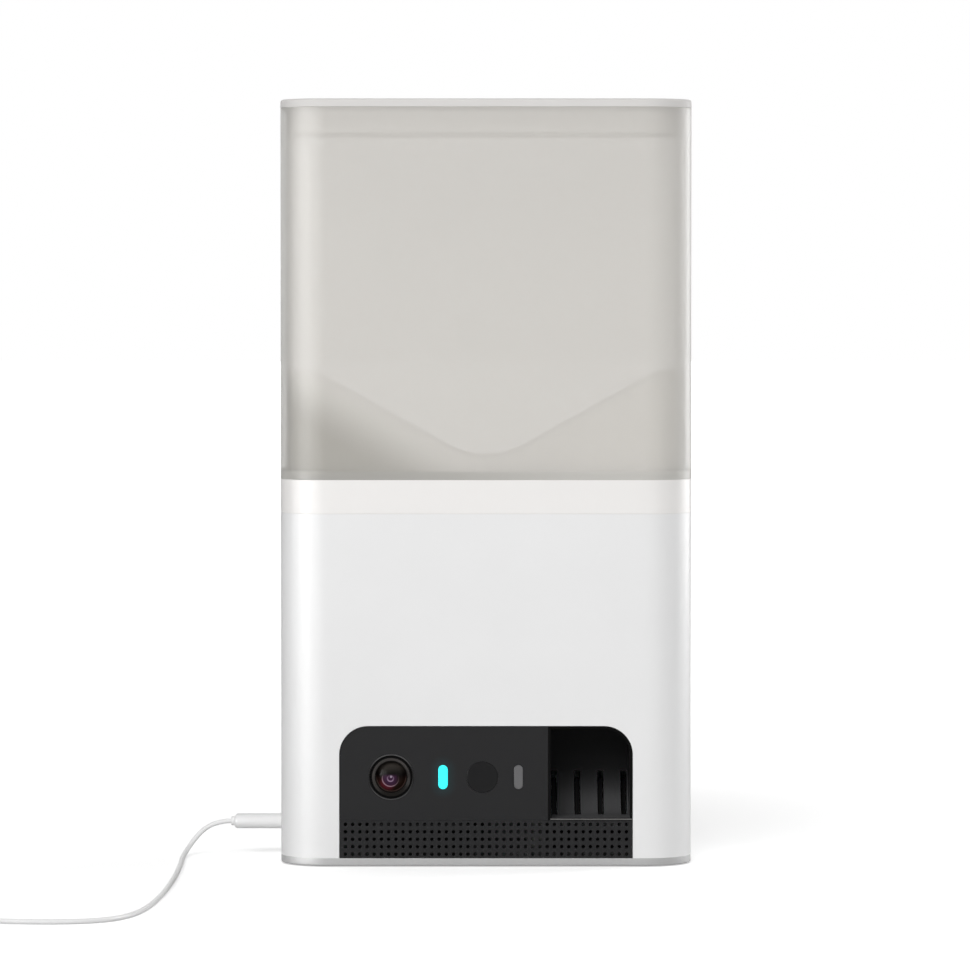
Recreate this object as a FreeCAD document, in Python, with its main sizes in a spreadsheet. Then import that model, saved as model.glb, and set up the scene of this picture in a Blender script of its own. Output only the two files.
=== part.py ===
import FreeCAD, Part
import math
import operator
import os
from types import SimpleNamespace

import Sketcher
from FreeCAD import Placement, Rotation, Vector

# A treat tossing pet camera: a slim tower with a camera, lights, speaker and a treat window low on
# its front, and a translucent treat container with a lid on top. Millimetres, +Z up, the front faces -Y
# and the origin is the middle of the base at the level that the feet stand on.

document = FreeCAD.newDocument("treat_camera")
sheet = document.addObject("Spreadsheet::Sheet", "dims")

dimensions = {
    # the casing, from the outside
    "body_width": 145.0,
    "body_depth": 74.0,
    "body_height": 269.5,
    "corner_radius": 17.0,
    "foot_proud": 0.4,
    "base_thickness": 2.7,
    "base_edge_chamfer": 0.9,
    "shell_height": 121.0,
    "collar_height": 11.9,
    "lid_thickness": 2.9,
    "lid_edge_chamfer": 0.9,
    # walls and clearances
    "shell_wall": 2.5,
    "container_wall": 2.2,
    "seat_gap": 0.15,
    "slide_gap": 0.3,
    "running_gap": 0.05,
    "cut_margin": 1.0,
    # base plate, feet and screws
    "foot_radius": 5.0,
    "foot_seat_depth": 1.0,
    "foot_across": 52.0,
    "foot_along": 20.0,
    "rail_thickness": 1.6,
    "rail_height": 3.0,
    "side_rail_length": 34.0,
    "back_rail_length": 96.0,
    "boss_inset": 9.2,
    "boss_radius": 4.0,
    "boss_height": 19.0,
    "screw_radius": 1.3,
    "screw_length": 13.0,
    "screw_head_radius": 2.8,
    "screw_head_height": 1.5,
    # front panel, grille and treat window
    "panel_side": 21.1,
    "panel_top": 49.5,
    "panel_corner": 10.0,
    "window_lip": 0.5,
    "window_bottom": 16.4,
    "panel_flange": 2.5,
    "panel_flange_thickness": 1.2,
    "grille_thickness": 1.2,
    "grille_margin": 2.065,
    "grille_pitch_up": 2.62,
    "grille_first_height": 4.56,
    "grille_hole_radius": 0.6,
    "grille_columns": 40,
    "grille_rows": 5,
    # camera
    "camera_from_edge": 18.1,
    "instrument_height": 31.65,
    "bezel_radius": 8.0,
    "bezel_rim": 0.45,
    "bezel_groove": 0.6,
    "bezel_groove_depth": 0.5,
    "bezel_bore": 5.75,
    "bezel_depth": 2.1,
    "barrel_radius": 8.4,
    "barrel_length": 11.0,
    "lens_radius": 5.4,
    "lens_thickness": 1.0,
    "lens_bulge": 1.7,
    "camera_board_side": 22.0,
    "board_thickness": 1.6,
    # lights beside the camera
    "status_share": 0.2938,
    "status_width": 3.26,
    "sensor_share": 0.2218,
    "sensor_width": 3.05,
    "pill_height": 8.4,
    "pipe_length": 6.5,
    "infrared_share": 0.0245,
    "infrared_radius": 5.5,
    "infrared_thickness": 1.3,
    "emitter_radius": 2.4,
    "peg_radius": 1.6,
    "peg_spread_across": 6.6,
    "peg_spread_up": 4.5,
    # speaker behind the grille
    "speaker_share": 0.4475,
    "speaker_width": 42.0,
    "speaker_height": 10.6,
    "speaker_depth": 8.0,
    "speaker_wall": 1.2,
    "cone_thickness": 0.8,
    "magnet_radius": 4.0,
    "magnet_length": 4.5,
    # treat window: a chute with a scooped floor, slotted for the tossing fork
    "chute_from_edge": 30.1,
    "chute_width": 30.6,
    "chute_wall": 1.4,
    "chute_setback": 2.7,
    "chute_top": 52.0,
    "chute_floor": 17.2,
    "scoop_setback": 13.0,
    "scoop_radius": 16.3,
    "scoop_wall": 1.6,
    "rim_thickness": 0.8,
    "slot_width": 2.2,
    "slot_pitch": 8.25,
    "slot_count": 4,
    "slot_front": 23.0,
    "slot_top": 31.4,
    # tossing fork
    "fork_behind": 8.0,
    "fork_z": 8.0,
    "fork_lean": 30.0,
    "fork_reach": 22.9,
    "tine_width": 1.5,
    "tine_root": 1.6,
    "tine_tip": 1.1,
    "fork_hub_radius": 3.2,
    "toss_axle_radius": 1.5,
    "ear_half_width": 6.0,
    "gear_module": 1.0,
    "gear_addendum": 0.75,
    "gear_dedendum": 1.15,
    "gear_flank": 20.0,
    "gear_fullness": 0.36,
    "sector_teeth": 28,
    "sector_shown": 7,
    "toss_pinion_teeth": 10,
    "toss_gear_width": 4.0,
    "gear_from_chute": 5.3,
    "mesh_angle": 60.0,
    "toss_motor_radius": 10.0,
    "toss_motor_length": 28.0,
    "motor_boss_radius": 3.0,
    "motor_shaft_radius": 1.25,
    "shaft_reach": 4.0,
    "bracket_thickness": 1.2,
    "bracket_foot": 10.0,
    # metering stage: floor, treat wheel, its pinion and motor, and the deck above
    "metering_drop": 21.6,
    "metering_thickness": 3.0,
    "ledge_height": 2.0,
    "ledge_width": 2.5,
    "wheel_lift": 0.5,
    "wheel_height": 18.5,
    "wheel_x": 17.5,
    "wheel_clearance": 1.75,
    "rim_below_pitch": 1.0,
    "wheel_rim_wall": 1.5,
    "wheel_hub_radius": 5.0,
    "wheel_axle_radius": 2.0,
    "wheel_vanes": 4,
    "vane_thickness": 1.8,
    "vane_angle": 45.0,
    "ring_gear_height": 5.0,
    "ring_teeth": 64,
    "wheel_pinion_teeth": 12,
    "wheel_motor_radius": 12.0,
    "wheel_motor_length": 32.0,
    "treat_hole_radius": 12.3,
    "deck_thickness": 2.5,
    "deck_seat": 0.9,
    "collar_spigot": 3.0,
    "collar_spigot_wall": 1.55,
    "deck_ring_height": 3.5,
    # drop chute
    "duct_top_half": 14.0,
    # container, hopper floor and lid
    "container_spigot": 5.0,
    "container_spigot_wall": 2.4,
    "container_foot": 2.0,
    "seal_height": 1.5,
    "seal_depth": 0.75,
    "seal_drop": 2.0,
    "trough_slope": 29.0,
    "trough_radius": 28.0,
    "trough_lift": 7.3,
    "trough_thickness": 2.0,
    "trough_ledge": 8.0,
    "spout_wall": 1.6,
    "skirt_depth": 8.9,
    "skirt_wall": 1.8,
    "gasket_drop": 5.0,
    # main board and its socket, reset switch and button
    "board_side_gap": 3.2,
    "board_chute_gap": 21.3,
    "board_front": 6.0,
    "board_back_gap": 6.5,
    "board_notch_side": 17.5,
    "board_notch_back": 14.5,
    "board_height": 8.9,
    "board_post_radius": 2.5,
    "board_post_inset": 4.0,
    "port_y": 8.0,
    "port_z": 12.0,
    "port_width": 8.6,
    "port_height": 3.6,
    "port_corner": 1.2,
    "socket_width": 8.2,
    "socket_height": 3.0,
    "socket_length": 6.5,
    "socket_wall": 0.4,
    "reset_x": -30.0,
    "reset_z": 12.6,
    "reset_radius": 2.6,
    "reset_flange": 3.6,
    "reset_travel": 0.9,
    "switch_depth": 3.6,
    # power plug and cord
    "plug_length": 17.7,
    "plug_width": 10.4,
    "plug_height": 4.95,
    "plug_edge": 1.2,
    "tip_width": 6.9,
    "tip_height": 1.9,
    "tip_reach": 7.0,
    "relief_radius": 1.7,
    "relief_length": 1.3,
    "relief_edge": 0.3,
    "cord_radius": 0.9,
    "coil_out": 107.5,
    "coil_y": -195.0,
    "coil_inner": 10.6,
    "coil_outer": 18.5,
    "coil_height": 8.9,
    "coil_lift": 0.65,
    "tie_width": 6.0,
    "tie_thickness": 0.6,
    "grip_out": 18.2,
    "grip_behind": 15.0,
    "grip_width": 12.4,
    "grip_height": 6.6,
    "grip_length": 20.0,
    "grip_edge": 1.6,
    "tongue_width": 12.0,
    "tongue_height": 4.5,
    "tongue_length": 12.0,
}

OPERATIONS = {"+": operator.add, "-": operator.sub, "*": operator.mul, "/": operator.truediv}


class Size:
    """A number together with the spreadsheet formula that gives it."""

    def __init__(self, text, value):
        self.text = text
        self.value = value

    def __add__(self, other):
        return combined(self, "+", other)

    def __radd__(self, other):
        return combined(other, "+", self)

    def __sub__(self, other):
        return combined(self, "-", other)

    def __rsub__(self, other):
        return combined(other, "-", self)

    def __mul__(self, other):
        return combined(self, "*", other)

    def __rmul__(self, other):
        return combined(other, "*", self)

    def __truediv__(self, other):
        return combined(self, "/", other)

    def __rtruediv__(self, other):
        return combined(other, "/", self)

    def __neg__(self):
        return combined(0, "-", self)


def sized(number):
    return number if isinstance(number, Size) else Size(repr(float(number)), float(number))


def combined(left, sign, right):
    left = sized(left)
    right = sized(right)
    return Size(f"({left.text} {sign} {right.text})", OPERATIONS[sign](left.value, right.value))


def sine(angle):
    return Size(f"sin({sized(angle).text})", math.sin(math.radians(sized(angle).value)))


def cosine(angle):
    return Size(f"cos({sized(angle).text})", math.cos(math.radians(sized(angle).value)))


def tangent(angle):
    return Size(f"tan({sized(angle).text})", math.tan(math.radians(sized(angle).value)))


for row, (alias, number) in enumerate(dimensions.items(), start=1):
    sheet.set(f"A{row}", alias)
    sheet.set(f"B{row}", str(number))
    sheet.setAlias(f"B{row}", alias)
document.recompute()
size = SimpleNamespace(**{
    alias: Size(f"dims.{alias}", float(number)) for alias, number in dimensions.items()})

# Heights and half sizes that several pieces share.
half_width = size.body_width / 2
half_depth = size.body_depth / 2
base_top = size.foot_proud + size.base_thickness
shell_top = base_top + size.shell_height
collar_top = shell_top + size.collar_height
lid_seam = size.body_height - size.lid_thickness
metering_underside = shell_top - size.metering_drop
trough_bottom = collar_top + size.trough_lift

# Places that keep their distance from the casing's sides, front or back.
panel_half = half_width - size.panel_side
chute_left = panel_half - size.chute_from_edge
window_left = chute_left + size.window_lip
chute_front = half_depth - size.chute_setback
scoop_start = half_depth - size.scoop_setback
fork_y = size.fork_behind - scoop_start
toss_gear_x = chute_left - size.gear_from_chute
camera_x = size.camera_from_edge - panel_half
status_x = -panel_half * size.status_share
infrared_x = -panel_half * size.infrared_share
sensor_x = panel_half * size.sensor_share
speaker_x = -panel_half * size.speaker_share
grille_span = 2 * (panel_half - size.grille_margin)
board_left = half_width - size.board_side_gap
board_right = chute_left - size.board_chute_gap
board_back = half_depth - size.board_back_gap
board_notch_x = half_width - size.board_notch_side
board_notch_y = half_depth - size.board_notch_back

pieces = []


def bind(item, field, value):
    item.setExpression(field, sized(value).text)


def new_body(name, x=0, y=0, z=0, axis=None, angle=0):
    """A named body, moved by x, y and z, and turned about axis by angle where one is given."""
    body = document.addObject("PartDesign::Body", name)
    body.Label = name
    if axis is not None:
        body.Placement = Placement(Vector(), Rotation(axis, sized(angle).value))
        bind(body, "Placement.Rotation.Angle", angle)
    for letter, value in zip("xyz", (x, y, z)):
        bind(body, f"Placement.Base.{letter}", value)
    pieces.append(body)
    return body


def origin_part(body, role):
    return next(item for item in body.Origin.OriginFeatures if item.Role == role)


class Drawing:
    """A sketch on one of a body's own planes, lifted along the plane's normal, all of it held by the sheet.

    On the XY plane its axes are X and Y and its normal is +Z; on the XZ plane X and Z, normal -Y;
    on the YZ plane Y and Z, normal +X.
    """

    def __init__(self, body, plane="XY", lift=0):
        self.body = body
        self.sketch = body.newObject("Sketcher::SketchObject", "sketch")
        self.sketch.AttachmentSupport = [(origin_part(body, f"{plane}_Plane"), "")]
        self.sketch.MapMode = "FlatFace"
        bind(self.sketch, "AttachmentOffset.Base.z", lift)

    def hold(self, kind, *where, value):
        number = self.sketch.addConstraint(Sketcher.Constraint(kind, *where, sized(value).value))
        self.sketch.setExpression(f"Constraints[{number}]", sized(value).text)

    def pin(self, edge, end, x, y):
        self.hold("DistanceX", -1, 1, edge, end, value=x)
        self.hold("DistanceY", -1, 1, edge, end, value=y)

    def circle(self, x, y, radius):
        centre = Vector(sized(x).value, sized(y).value, 0)
        edge = self.sketch.addGeometry(Part.Circle(centre, Vector(0, 0, 1), sized(radius).value))
        self.pin(edge, 3, x, y)
        self.hold("Radius", edge, value=radius)
        return self

    def outline(self, *corners):
        """A closed line through corners. A corner with a third value is reached by an arc of that radius
        and less than half a turn, counter-clockwise where the radius is positive."""
        edges = []
        for start, end in zip(corners, corners[1:] + corners[:1]):
            first, last = (Vector(sized(x).value, sized(y).value, 0) for x, y in (start[:2], end[:2]))
            if len(end) == 2:
                edges.append((self.sketch.addGeometry(Part.LineSegment(first, last)), 1, 2))
                continue
            radius = sized(end[2])
            turn = 1 if radius.value > 0 else -1
            chord = last - first
            rise = math.sqrt(radius.value ** 2 - (chord.Length / 2) ** 2)
            side = Vector(-chord.y, chord.x, 0).normalize() * turn
            centre = (first + last) / 2 + side * rise
            ends = (first, last) if turn > 0 else (last, first)
            low, high = (math.atan2(end_point.y - centre.y, end_point.x - centre.x) for end_point in ends)
            if high < low:
                high += 2 * math.pi
            circle = Part.Circle(centre, Vector(0, 0, 1), abs(radius.value))
            edge = self.sketch.addGeometry(Part.ArcOfCircle(circle, low, high))
            edges.append((edge, 1, 2) if turn > 0 else (edge, 2, 1))
            self.hold("Radius", edge, value=radius * turn)
        for (edge, _, far), (following, near, _) in zip(edges, edges[1:] + edges[:1]):
            self.sketch.addConstraint(Sketcher.Constraint("Coincident", edge, far, following, near))
        for (edge, near, _), corner in zip(edges, corners):
            self.pin(edge, near, corner[0], corner[1])
        return self

    def rectangle(self, left, low, right, high):
        return self.outline((left, low), (right, low), (right, high), (left, high))

    def rounded(self, left, low, right, high, radius):
        return self.outline(
            (left + radius, low, radius), (right - radius, low), (right, low + radius, radius),
            (right, high - radius), (right - radius, high, radius), (left + radius, high),
            (left, high - radius, radius), (left, low + radius))

    def footprint(self, inset=0):
        """The casing's rounded outline, drawn in by inset."""
        across = half_width - inset
        deep = half_depth - inset
        return self.rounded(-across, -deep, across, deep, size.corner_radius - inset)

    def pill(self, x, y, width, height):
        """A slot with half-round ends, upright where it is taller than wide, else lying."""
        upright = sized(height).value > sized(width).value
        radius = (width if upright else height) / 2
        reach = (height if upright else width) / 2 - radius
        way = (0, 1) if upright else (1, 0)
        radius_now = sized(radius).value
        reach_now = sized(reach).value
        middle = Vector(sized(x).value, sized(y).value, 0)
        along = Vector(*way, 0)
        across = Vector(way[1], -way[0], 0)
        start = math.atan2(across.y, across.x)
        up = Part.Circle(middle + along * reach_now, Vector(0, 0, 1), radius_now)
        down = Part.Circle(middle - along * reach_now, Vector(0, 0, 1), radius_now)
        first = self.sketch.addGeometry(Part.ArcOfCircle(up, start, start + math.pi))
        second = self.sketch.addGeometry(Part.ArcOfCircle(down, start + math.pi, start + 2 * math.pi))
        left = self.sketch.addGeometry(Part.LineSegment(
            middle + along * reach_now - across * radius_now,
            middle - along * reach_now - across * radius_now))
        right = self.sketch.addGeometry(Part.LineSegment(
            middle - along * reach_now + across * radius_now,
            middle + along * reach_now + across * radius_now))
        for one, its_end, other, other_end in ((first, 2, left, 1), (left, 2, second, 1),
                                               (second, 2, right, 1), (right, 2, first, 1)):
            self.sketch.addConstraint(Sketcher.Constraint("Tangent", one, its_end, other, other_end))
        self.pin(first, 3, x + reach * way[0], y + reach * way[1])
        self.pin(second, 3, x - reach * way[0], y - reach * way[1])
        self.hold("Radius", first, value=radius)
        self.hold("Radius", second, value=radius)
        return self

    def tooth(self, teeth, angle, module, sunk=0.4):
        """One straight-flanked gear tooth at angle, its root a little inside the root circle."""
        pitch_radius = module * teeth / 2
        root = pitch_radius - size.gear_dedendum - sunk
        tip = pitch_radius + size.gear_addendum
        half = module * math.pi * size.gear_fullness / 2
        half_root = half + (size.gear_dedendum + sunk) * tangent(size.gear_flank)
        half_tip = half - size.gear_addendum * tangent(size.gear_flank)
        across, up = cosine(angle), sine(angle)
        return self.outline(*(
            (reach * across - side * up, reach * up + side * across)
            for reach, side in ((root, -half_root), (tip, -half_tip), (tip, half_tip), (root, half_root))))


def feature(drawing, kind, backwards, length):
    item = drawing.body.newObject(f"PartDesign::{kind}", kind.lower())
    item.Profile = drawing.sketch
    item.Reversed = backwards
    bind(item, "Length", length)
    return item


def pad(drawing, length, back=False):
    """Material from the drawing along its normal, or the other way with back."""
    return feature(drawing, "Pad", back, length)


def pocket(drawing, length, back=False):
    """A cut from the drawing along its normal, or the other way with back."""
    return feature(drawing, "Pocket", not back, length)


def revolve(drawing, axis="Z_Axis"):
    item = drawing.body.newObject("PartDesign::Revolution", "revolution")
    item.Profile = drawing.sketch
    item.ReferenceAxis = (origin_part(drawing.body, axis), [""])
    item.Angle = 360
    return item


def around(body, item, axis, count, span=360):
    """A polar pattern of item about one of the body's axes."""
    pattern = body.newObject("PartDesign::PolarPattern", "around")
    pattern.Originals = [item]
    pattern.Axis = (origin_part(body, axis), [""])
    bind(pattern, "Angle", span)
    bind(pattern, "Occurrences", count)
    body.Tip = pattern
    return pattern


def in_row(body, item, axis, span, count):
    """A row of copies of item along one of the body's axes, span long from first to last."""
    pattern = body.newObject("PartDesign::LinearPattern", "row")
    pattern.Originals = [item]
    pattern.Direction = (origin_part(body, axis), [""])
    bind(pattern, "Length", span)
    bind(pattern, "Occurrences", count)
    body.Tip = pattern
    return pattern


def loft(kind, body, first, last):
    item = body.newObject(f"PartDesign::{kind}", "loft")
    item.Profile = first.sketch
    item.Sections = [last.sketch]
    item.Ruled = True
    return item


def ease_edges(body, item, width, chosen):
    """Chamfers the edges of item whose ends both satisfy chosen(point)."""
    document.recompute()
    names = [f"Edge{number}" for number, edge in enumerate(item.Shape.Edges, start=1)
             if all(chosen(vertex.Point) for vertex in edge.Vertexes)]
    easing = body.newObject("PartDesign::Chamfer", "chamfer")
    easing.Base = (item, names)
    bind(easing, "Size", width)
    return easing


def four_corners(across, deep):
    return [(side * across, end * deep) for side in (1, -1) for end in (1, -1)]


# ---------------------------------------------------------------- base plate, feet and base screws
boss_spots = four_corners(half_width - size.boss_inset, half_depth - size.boss_inset)
foot_spots = four_corners(size.foot_across, size.foot_along)
board_posts = [
    (size.board_post_inset - board_notch_x, size.board_post_inset - size.board_front),
    (board_right - size.board_post_inset, size.board_post_inset - size.board_front),
    (size.board_post_inset - board_notch_x, board_back - size.board_post_inset),
    (board_right - size.board_post_inset, board_back - size.board_post_inset)]

base_plate = new_body("base_plate")
plate = pad(Drawing(base_plate, lift=size.foot_proud).footprint(), size.base_thickness)
ease_edges(base_plate, plate, size.base_edge_chamfer,
           lambda point: abs(point.z - size.foot_proud.value) < 0.01)
rails = Drawing(base_plate, lift=base_top)
rail_out = size.shell_wall + size.seat_gap
for side in (1, -1):
    outer_face = side * (half_width - rail_out)
    near, far = sorted((outer_face, outer_face - side * size.rail_thickness), key=lambda place: place.value)
    rails.rectangle(near, -size.side_rail_length / 2, far, size.side_rail_length / 2)
rails.rectangle(-size.back_rail_length / 2, half_depth - rail_out - size.rail_thickness,
                size.back_rail_length / 2, half_depth - rail_out)
pad(rails, size.rail_height)
posts = Drawing(base_plate, lift=base_top)
for spot in board_posts:
    posts.circle(*spot, size.board_post_radius)
pad(posts, size.board_height - base_top)
foot_seats = Drawing(base_plate, lift=size.foot_proud)
for spot in foot_spots:
    foot_seats.circle(*spot, size.foot_radius + size.seat_gap)
pocket(foot_seats, size.foot_seat_depth)
screw_holes = Drawing(base_plate, lift=size.foot_proud)
for spot in boss_spots:
    screw_holes.circle(*spot, size.screw_radius + size.seat_gap)
pocket(screw_holes, size.base_thickness)
screw_seats = Drawing(base_plate, lift=size.foot_proud)
for spot in boss_spots:
    screw_seats.circle(*spot, size.screw_head_radius + size.seat_gap)
pocket(screw_seats, size.screw_head_height)

rubber_feet = new_body("rubber_feet")
discs = Drawing(rubber_feet)
for spot in foot_spots:
    discs.circle(*spot, size.foot_radius)
pad(discs, size.foot_proud + size.foot_seat_depth)

base_screws = new_body("base_screws")
heads = Drawing(base_screws, lift=size.foot_proud + size.seat_gap)
shanks = Drawing(base_screws, lift=size.foot_proud + size.seat_gap)
for spot in boss_spots:
    heads.circle(*spot, size.screw_head_radius)
    shanks.circle(*spot, size.screw_radius)
pad(heads, size.screw_head_height - size.seat_gap)
pad(shanks, size.screw_length)

# ---------------------------------------------------------------- lower shell
# One moulded tube with a ledge inside that carries the metering floor, four screw bosses in its corners,
# a cut-out for the front panel, a port for the power plug and a hole for the reset button.
metering_top = metering_underside + size.metering_thickness
ledge_bottom = metering_underside - size.ledge_height
lower_shell = new_body("lower_shell")
pad(Drawing(lower_shell, lift=base_top).footprint(), size.shell_height)
pocket(Drawing(lower_shell, lift=base_top).footprint(size.shell_wall), ledge_bottom - base_top)
pocket(Drawing(lower_shell, lift=ledge_bottom).footprint(size.shell_wall + size.ledge_width),
       size.ledge_height)
pocket(Drawing(lower_shell, lift=metering_underside).footprint(size.shell_wall),
       shell_top - metering_underside)
bosses = Drawing(lower_shell, lift=base_top)
for spot in boss_spots:
    bosses.circle(*spot, size.boss_radius)
pad(bosses, size.boss_height)
pilots = Drawing(lower_shell, lift=base_top)
for spot in boss_spots:
    pilots.circle(*spot, size.screw_radius + size.running_gap)
pocket(pilots, size.screw_length)
opening_half = panel_half + size.seat_gap
opening_top = size.panel_top + size.seat_gap
opening_corner = size.panel_corner + size.seat_gap
opening = Drawing(lower_shell, "XZ", half_depth + size.cut_margin).outline(
    (-opening_half, base_top - size.cut_margin), (opening_half, base_top - size.cut_margin),
    (opening_half, opening_top - opening_corner),
    (opening_half - opening_corner, opening_top, opening_corner),
    (opening_corner - opening_half, opening_top),
    (-opening_half, opening_top - opening_corner, opening_corner))
pocket(opening, size.shell_wall + 2 * size.cut_margin, back=True)
port = Drawing(lower_shell, "YZ", -half_width - size.cut_margin).rounded(
    size.port_y - size.port_width / 2, size.port_z - size.port_height / 2,
    size.port_y + size.port_width / 2, size.port_z + size.port_height / 2, size.port_corner)
pocket(port, size.shell_wall + 2 * size.cut_margin)
reset_hole = Drawing(lower_shell, "XZ", -half_depth - size.cut_margin).circle(
    size.reset_x, size.reset_z, size.reset_radius + size.seat_gap)
pocket(reset_hole, size.shell_wall + 2 * size.cut_margin)

# ---------------------------------------------------------------- docking collar and hopper deck
# The collar closes the shell's top. Its spigot drops into the shell, its ledge carries the deck, and the
# container docks into it from above.
collar_inner = size.shell_wall + size.seat_gap + size.collar_spigot_wall
deck_bottom = shell_top + size.deck_seat
deck_top = deck_bottom + size.deck_thickness
docking_collar = new_body("docking_collar")
pad(Drawing(docking_collar, lift=shell_top).footprint(), size.collar_height)
pad(Drawing(docking_collar, lift=shell_top).footprint(size.shell_wall + size.seat_gap),
    size.collar_spigot, back=True)
pocket(Drawing(docking_collar, lift=shell_top - size.collar_spigot).footprint(collar_inner),
       size.collar_spigot + size.deck_seat)
pocket(Drawing(docking_collar, lift=deck_bottom).footprint(size.shell_wall), collar_top - deck_bottom)

spout_radius = size.treat_hole_radius + size.spout_wall
hopper_deck = new_body("hopper_deck")
pad(Drawing(hopper_deck, lift=deck_bottom).footprint(size.shell_wall + size.seat_gap), size.deck_thickness)
ring_inner = spout_radius + size.slide_gap
pad(Drawing(hopper_deck, lift=deck_top).circle(0, 0, ring_inner).circle(0, 0, ring_inner + size.spout_wall),
    size.deck_ring_height)
pocket(Drawing(hopper_deck, lift=deck_bottom).circle(0, 0, size.treat_hole_radius), size.deck_thickness)
pocket(Drawing(hopper_deck, lift=deck_bottom)
       .circle(size.wheel_x, 0, size.wheel_axle_radius + size.running_gap),
       size.deck_thickness / 2)

# ---------------------------------------------------------------- metering floor, axle and treat wheel
# The wheel carries a treat in each of its pockets half a turn, from the deck's hole to the floor's hole.
outlet_x = 2 * size.wheel_x
ring_pitch = half_depth - size.shell_wall - size.wheel_clearance - size.gear_addendum
ring_module = 2 * ring_pitch / size.ring_teeth
wheel_outer = ring_pitch - size.rim_below_pitch
rim_inner = wheel_outer - size.wheel_rim_wall
motor_x = size.wheel_x - ring_module * (size.ring_teeth + size.wheel_pinion_teeth) / 2
wheel_bottom = metering_top + size.wheel_lift
metering_floor = new_body("metering_floor")
pad(Drawing(metering_floor, lift=metering_underside).footprint(size.shell_wall + size.seat_gap),
    size.metering_thickness)
pocket(Drawing(metering_floor, lift=metering_underside).circle(outlet_x, 0, size.treat_hole_radius),
       size.metering_thickness)
pocket(Drawing(metering_floor, lift=metering_underside)
       .circle(size.wheel_x, 0, size.wheel_axle_radius + size.running_gap)
       .circle(motor_x, 0, size.motor_boss_radius), size.metering_thickness)

axle_head = 1.5 * size.wheel_axle_radius
wheel_axle = new_body("wheel_axle", x=size.wheel_x)
pad(Drawing(wheel_axle, lift=metering_underside).circle(0, 0, axle_head), size.ledge_height, back=True)
pad(Drawing(wheel_axle, lift=metering_underside).circle(0, 0, size.wheel_axle_radius),
    deck_bottom + size.deck_thickness / 2 - metering_underside - size.seat_gap)

treat_wheel = new_body("treat_wheel", x=size.wheel_x, z=wheel_bottom)
pad(Drawing(treat_wheel).circle(0, 0, size.wheel_hub_radius), size.wheel_height)
vane_start = size.wheel_hub_radius - size.vane_thickness
vane_end = rim_inner + size.wheel_rim_wall / 2
vane_cos, vane_sin = cosine(size.vane_angle), sine(size.vane_angle)
vane = pad(Drawing(treat_wheel).outline(*(
    (reach * vane_cos - side * vane_sin, reach * vane_sin + side * vane_cos)
    for reach, side in ((vane_start, -size.vane_thickness / 2), (vane_end, -size.vane_thickness / 2),
                        (vane_end, size.vane_thickness / 2), (vane_start, size.vane_thickness / 2)))),
    size.wheel_height)
around(treat_wheel, vane, "Z_Axis", size.wheel_vanes)
pad(Drawing(treat_wheel).circle(0, 0, rim_inner).circle(0, 0, wheel_outer), size.wheel_height)
ring_tooth = pad(Drawing(treat_wheel).tooth(size.ring_teeth, 180, ring_module), size.ring_gear_height)
around(treat_wheel, ring_tooth, "Z_Axis", size.ring_teeth)
pocket(Drawing(treat_wheel).circle(0, 0, size.wheel_axle_radius + size.running_gap), size.wheel_height)

# ---------------------------------------------------------------- wheel pinion and its gear motor
pinion_root = ring_module * size.wheel_pinion_teeth / 2 - size.gear_dedendum
wheel_pinion = new_body("wheel_pinion", x=motor_x, z=wheel_bottom)
pad(Drawing(wheel_pinion).circle(0, 0, pinion_root), size.ring_gear_height)
pinion_tooth = pad(Drawing(wheel_pinion).tooth(
    size.wheel_pinion_teeth, 180 / size.wheel_pinion_teeth, ring_module), size.ring_gear_height)
around(wheel_pinion, pinion_tooth, "Z_Axis", size.wheel_pinion_teeth)
pad(Drawing(wheel_pinion).circle(0, 0, size.motor_shaft_radius),
    size.wheel_lift + size.metering_thickness + size.shaft_reach, back=True)

wheel_motor = new_body("wheel_motor", x=motor_x, z=metering_underside)
pad(Drawing(wheel_motor).circle(0, 0, size.wheel_motor_radius), size.wheel_motor_length / 3, back=True)
pad(Drawing(wheel_motor).circle(0, 0, size.wheel_motor_radius - size.shell_wall),
    size.wheel_motor_length, back=True)
pad(Drawing(wheel_motor).circle(0, 0, size.motor_boss_radius - size.running_gap), size.metering_thickness)
pocket(Drawing(wheel_motor, lift=size.metering_thickness)
       .circle(0, 0, size.motor_shaft_radius + size.running_gap),
       size.metering_thickness + size.shaft_reach + size.wheel_lift, back=True)

# ---------------------------------------------------------------- exit chute behind the treat window
# A box with an open top and front. Its floor curves up at the back as a scoop with four slots, its side
# walls run down to the base plate as ears for the fork's axle, and its mouth lines the panel's window.
scoop_back = scoop_start - size.scoop_radius
scoop_centre = size.chute_floor + size.scoop_radius
outer_radius = size.scoop_radius + size.scoop_wall
duct_end = size.scoop_radius + size.scoop_wall - scoop_start
chute_right = chute_left + size.chute_width
chute_inner_left = chute_left + size.chute_wall
chute_inner_right = chute_right - size.chute_wall
window_top = size.panel_top - size.rim_thickness
exit_chute = new_body("exit_chute")
pad(Drawing(exit_chute, "YZ", chute_left).outline(
    (-chute_front, size.chute_floor - size.scoop_wall),
    (-scoop_start, size.chute_floor - size.scoop_wall),
    (duct_end, scoop_centre, outer_radius),
    (duct_end, size.chute_top), (-chute_front, size.chute_top)), size.chute_width)
pad(Drawing(exit_chute, "XZ", half_depth).outline(
    (window_left + size.seat_gap, size.window_bottom),
    (panel_half, size.window_bottom),
    (panel_half, size.panel_top - size.panel_corner),
    (panel_half - size.panel_corner, size.panel_top, size.panel_corner),
    (window_left + size.seat_gap, size.panel_top)),
    half_depth - chute_front + size.chute_wall / 2, back=True)
ears = [(-size.ear_half_width + fork_y, base_top), (size.ear_half_width + fork_y, base_top),
        (size.ear_half_width + fork_y, size.chute_floor + size.scoop_wall),
        (-size.ear_half_width + fork_y, size.chute_floor + size.scoop_wall)]
pad(Drawing(exit_chute, "YZ", chute_left).outline(*ears), size.chute_wall)
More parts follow.
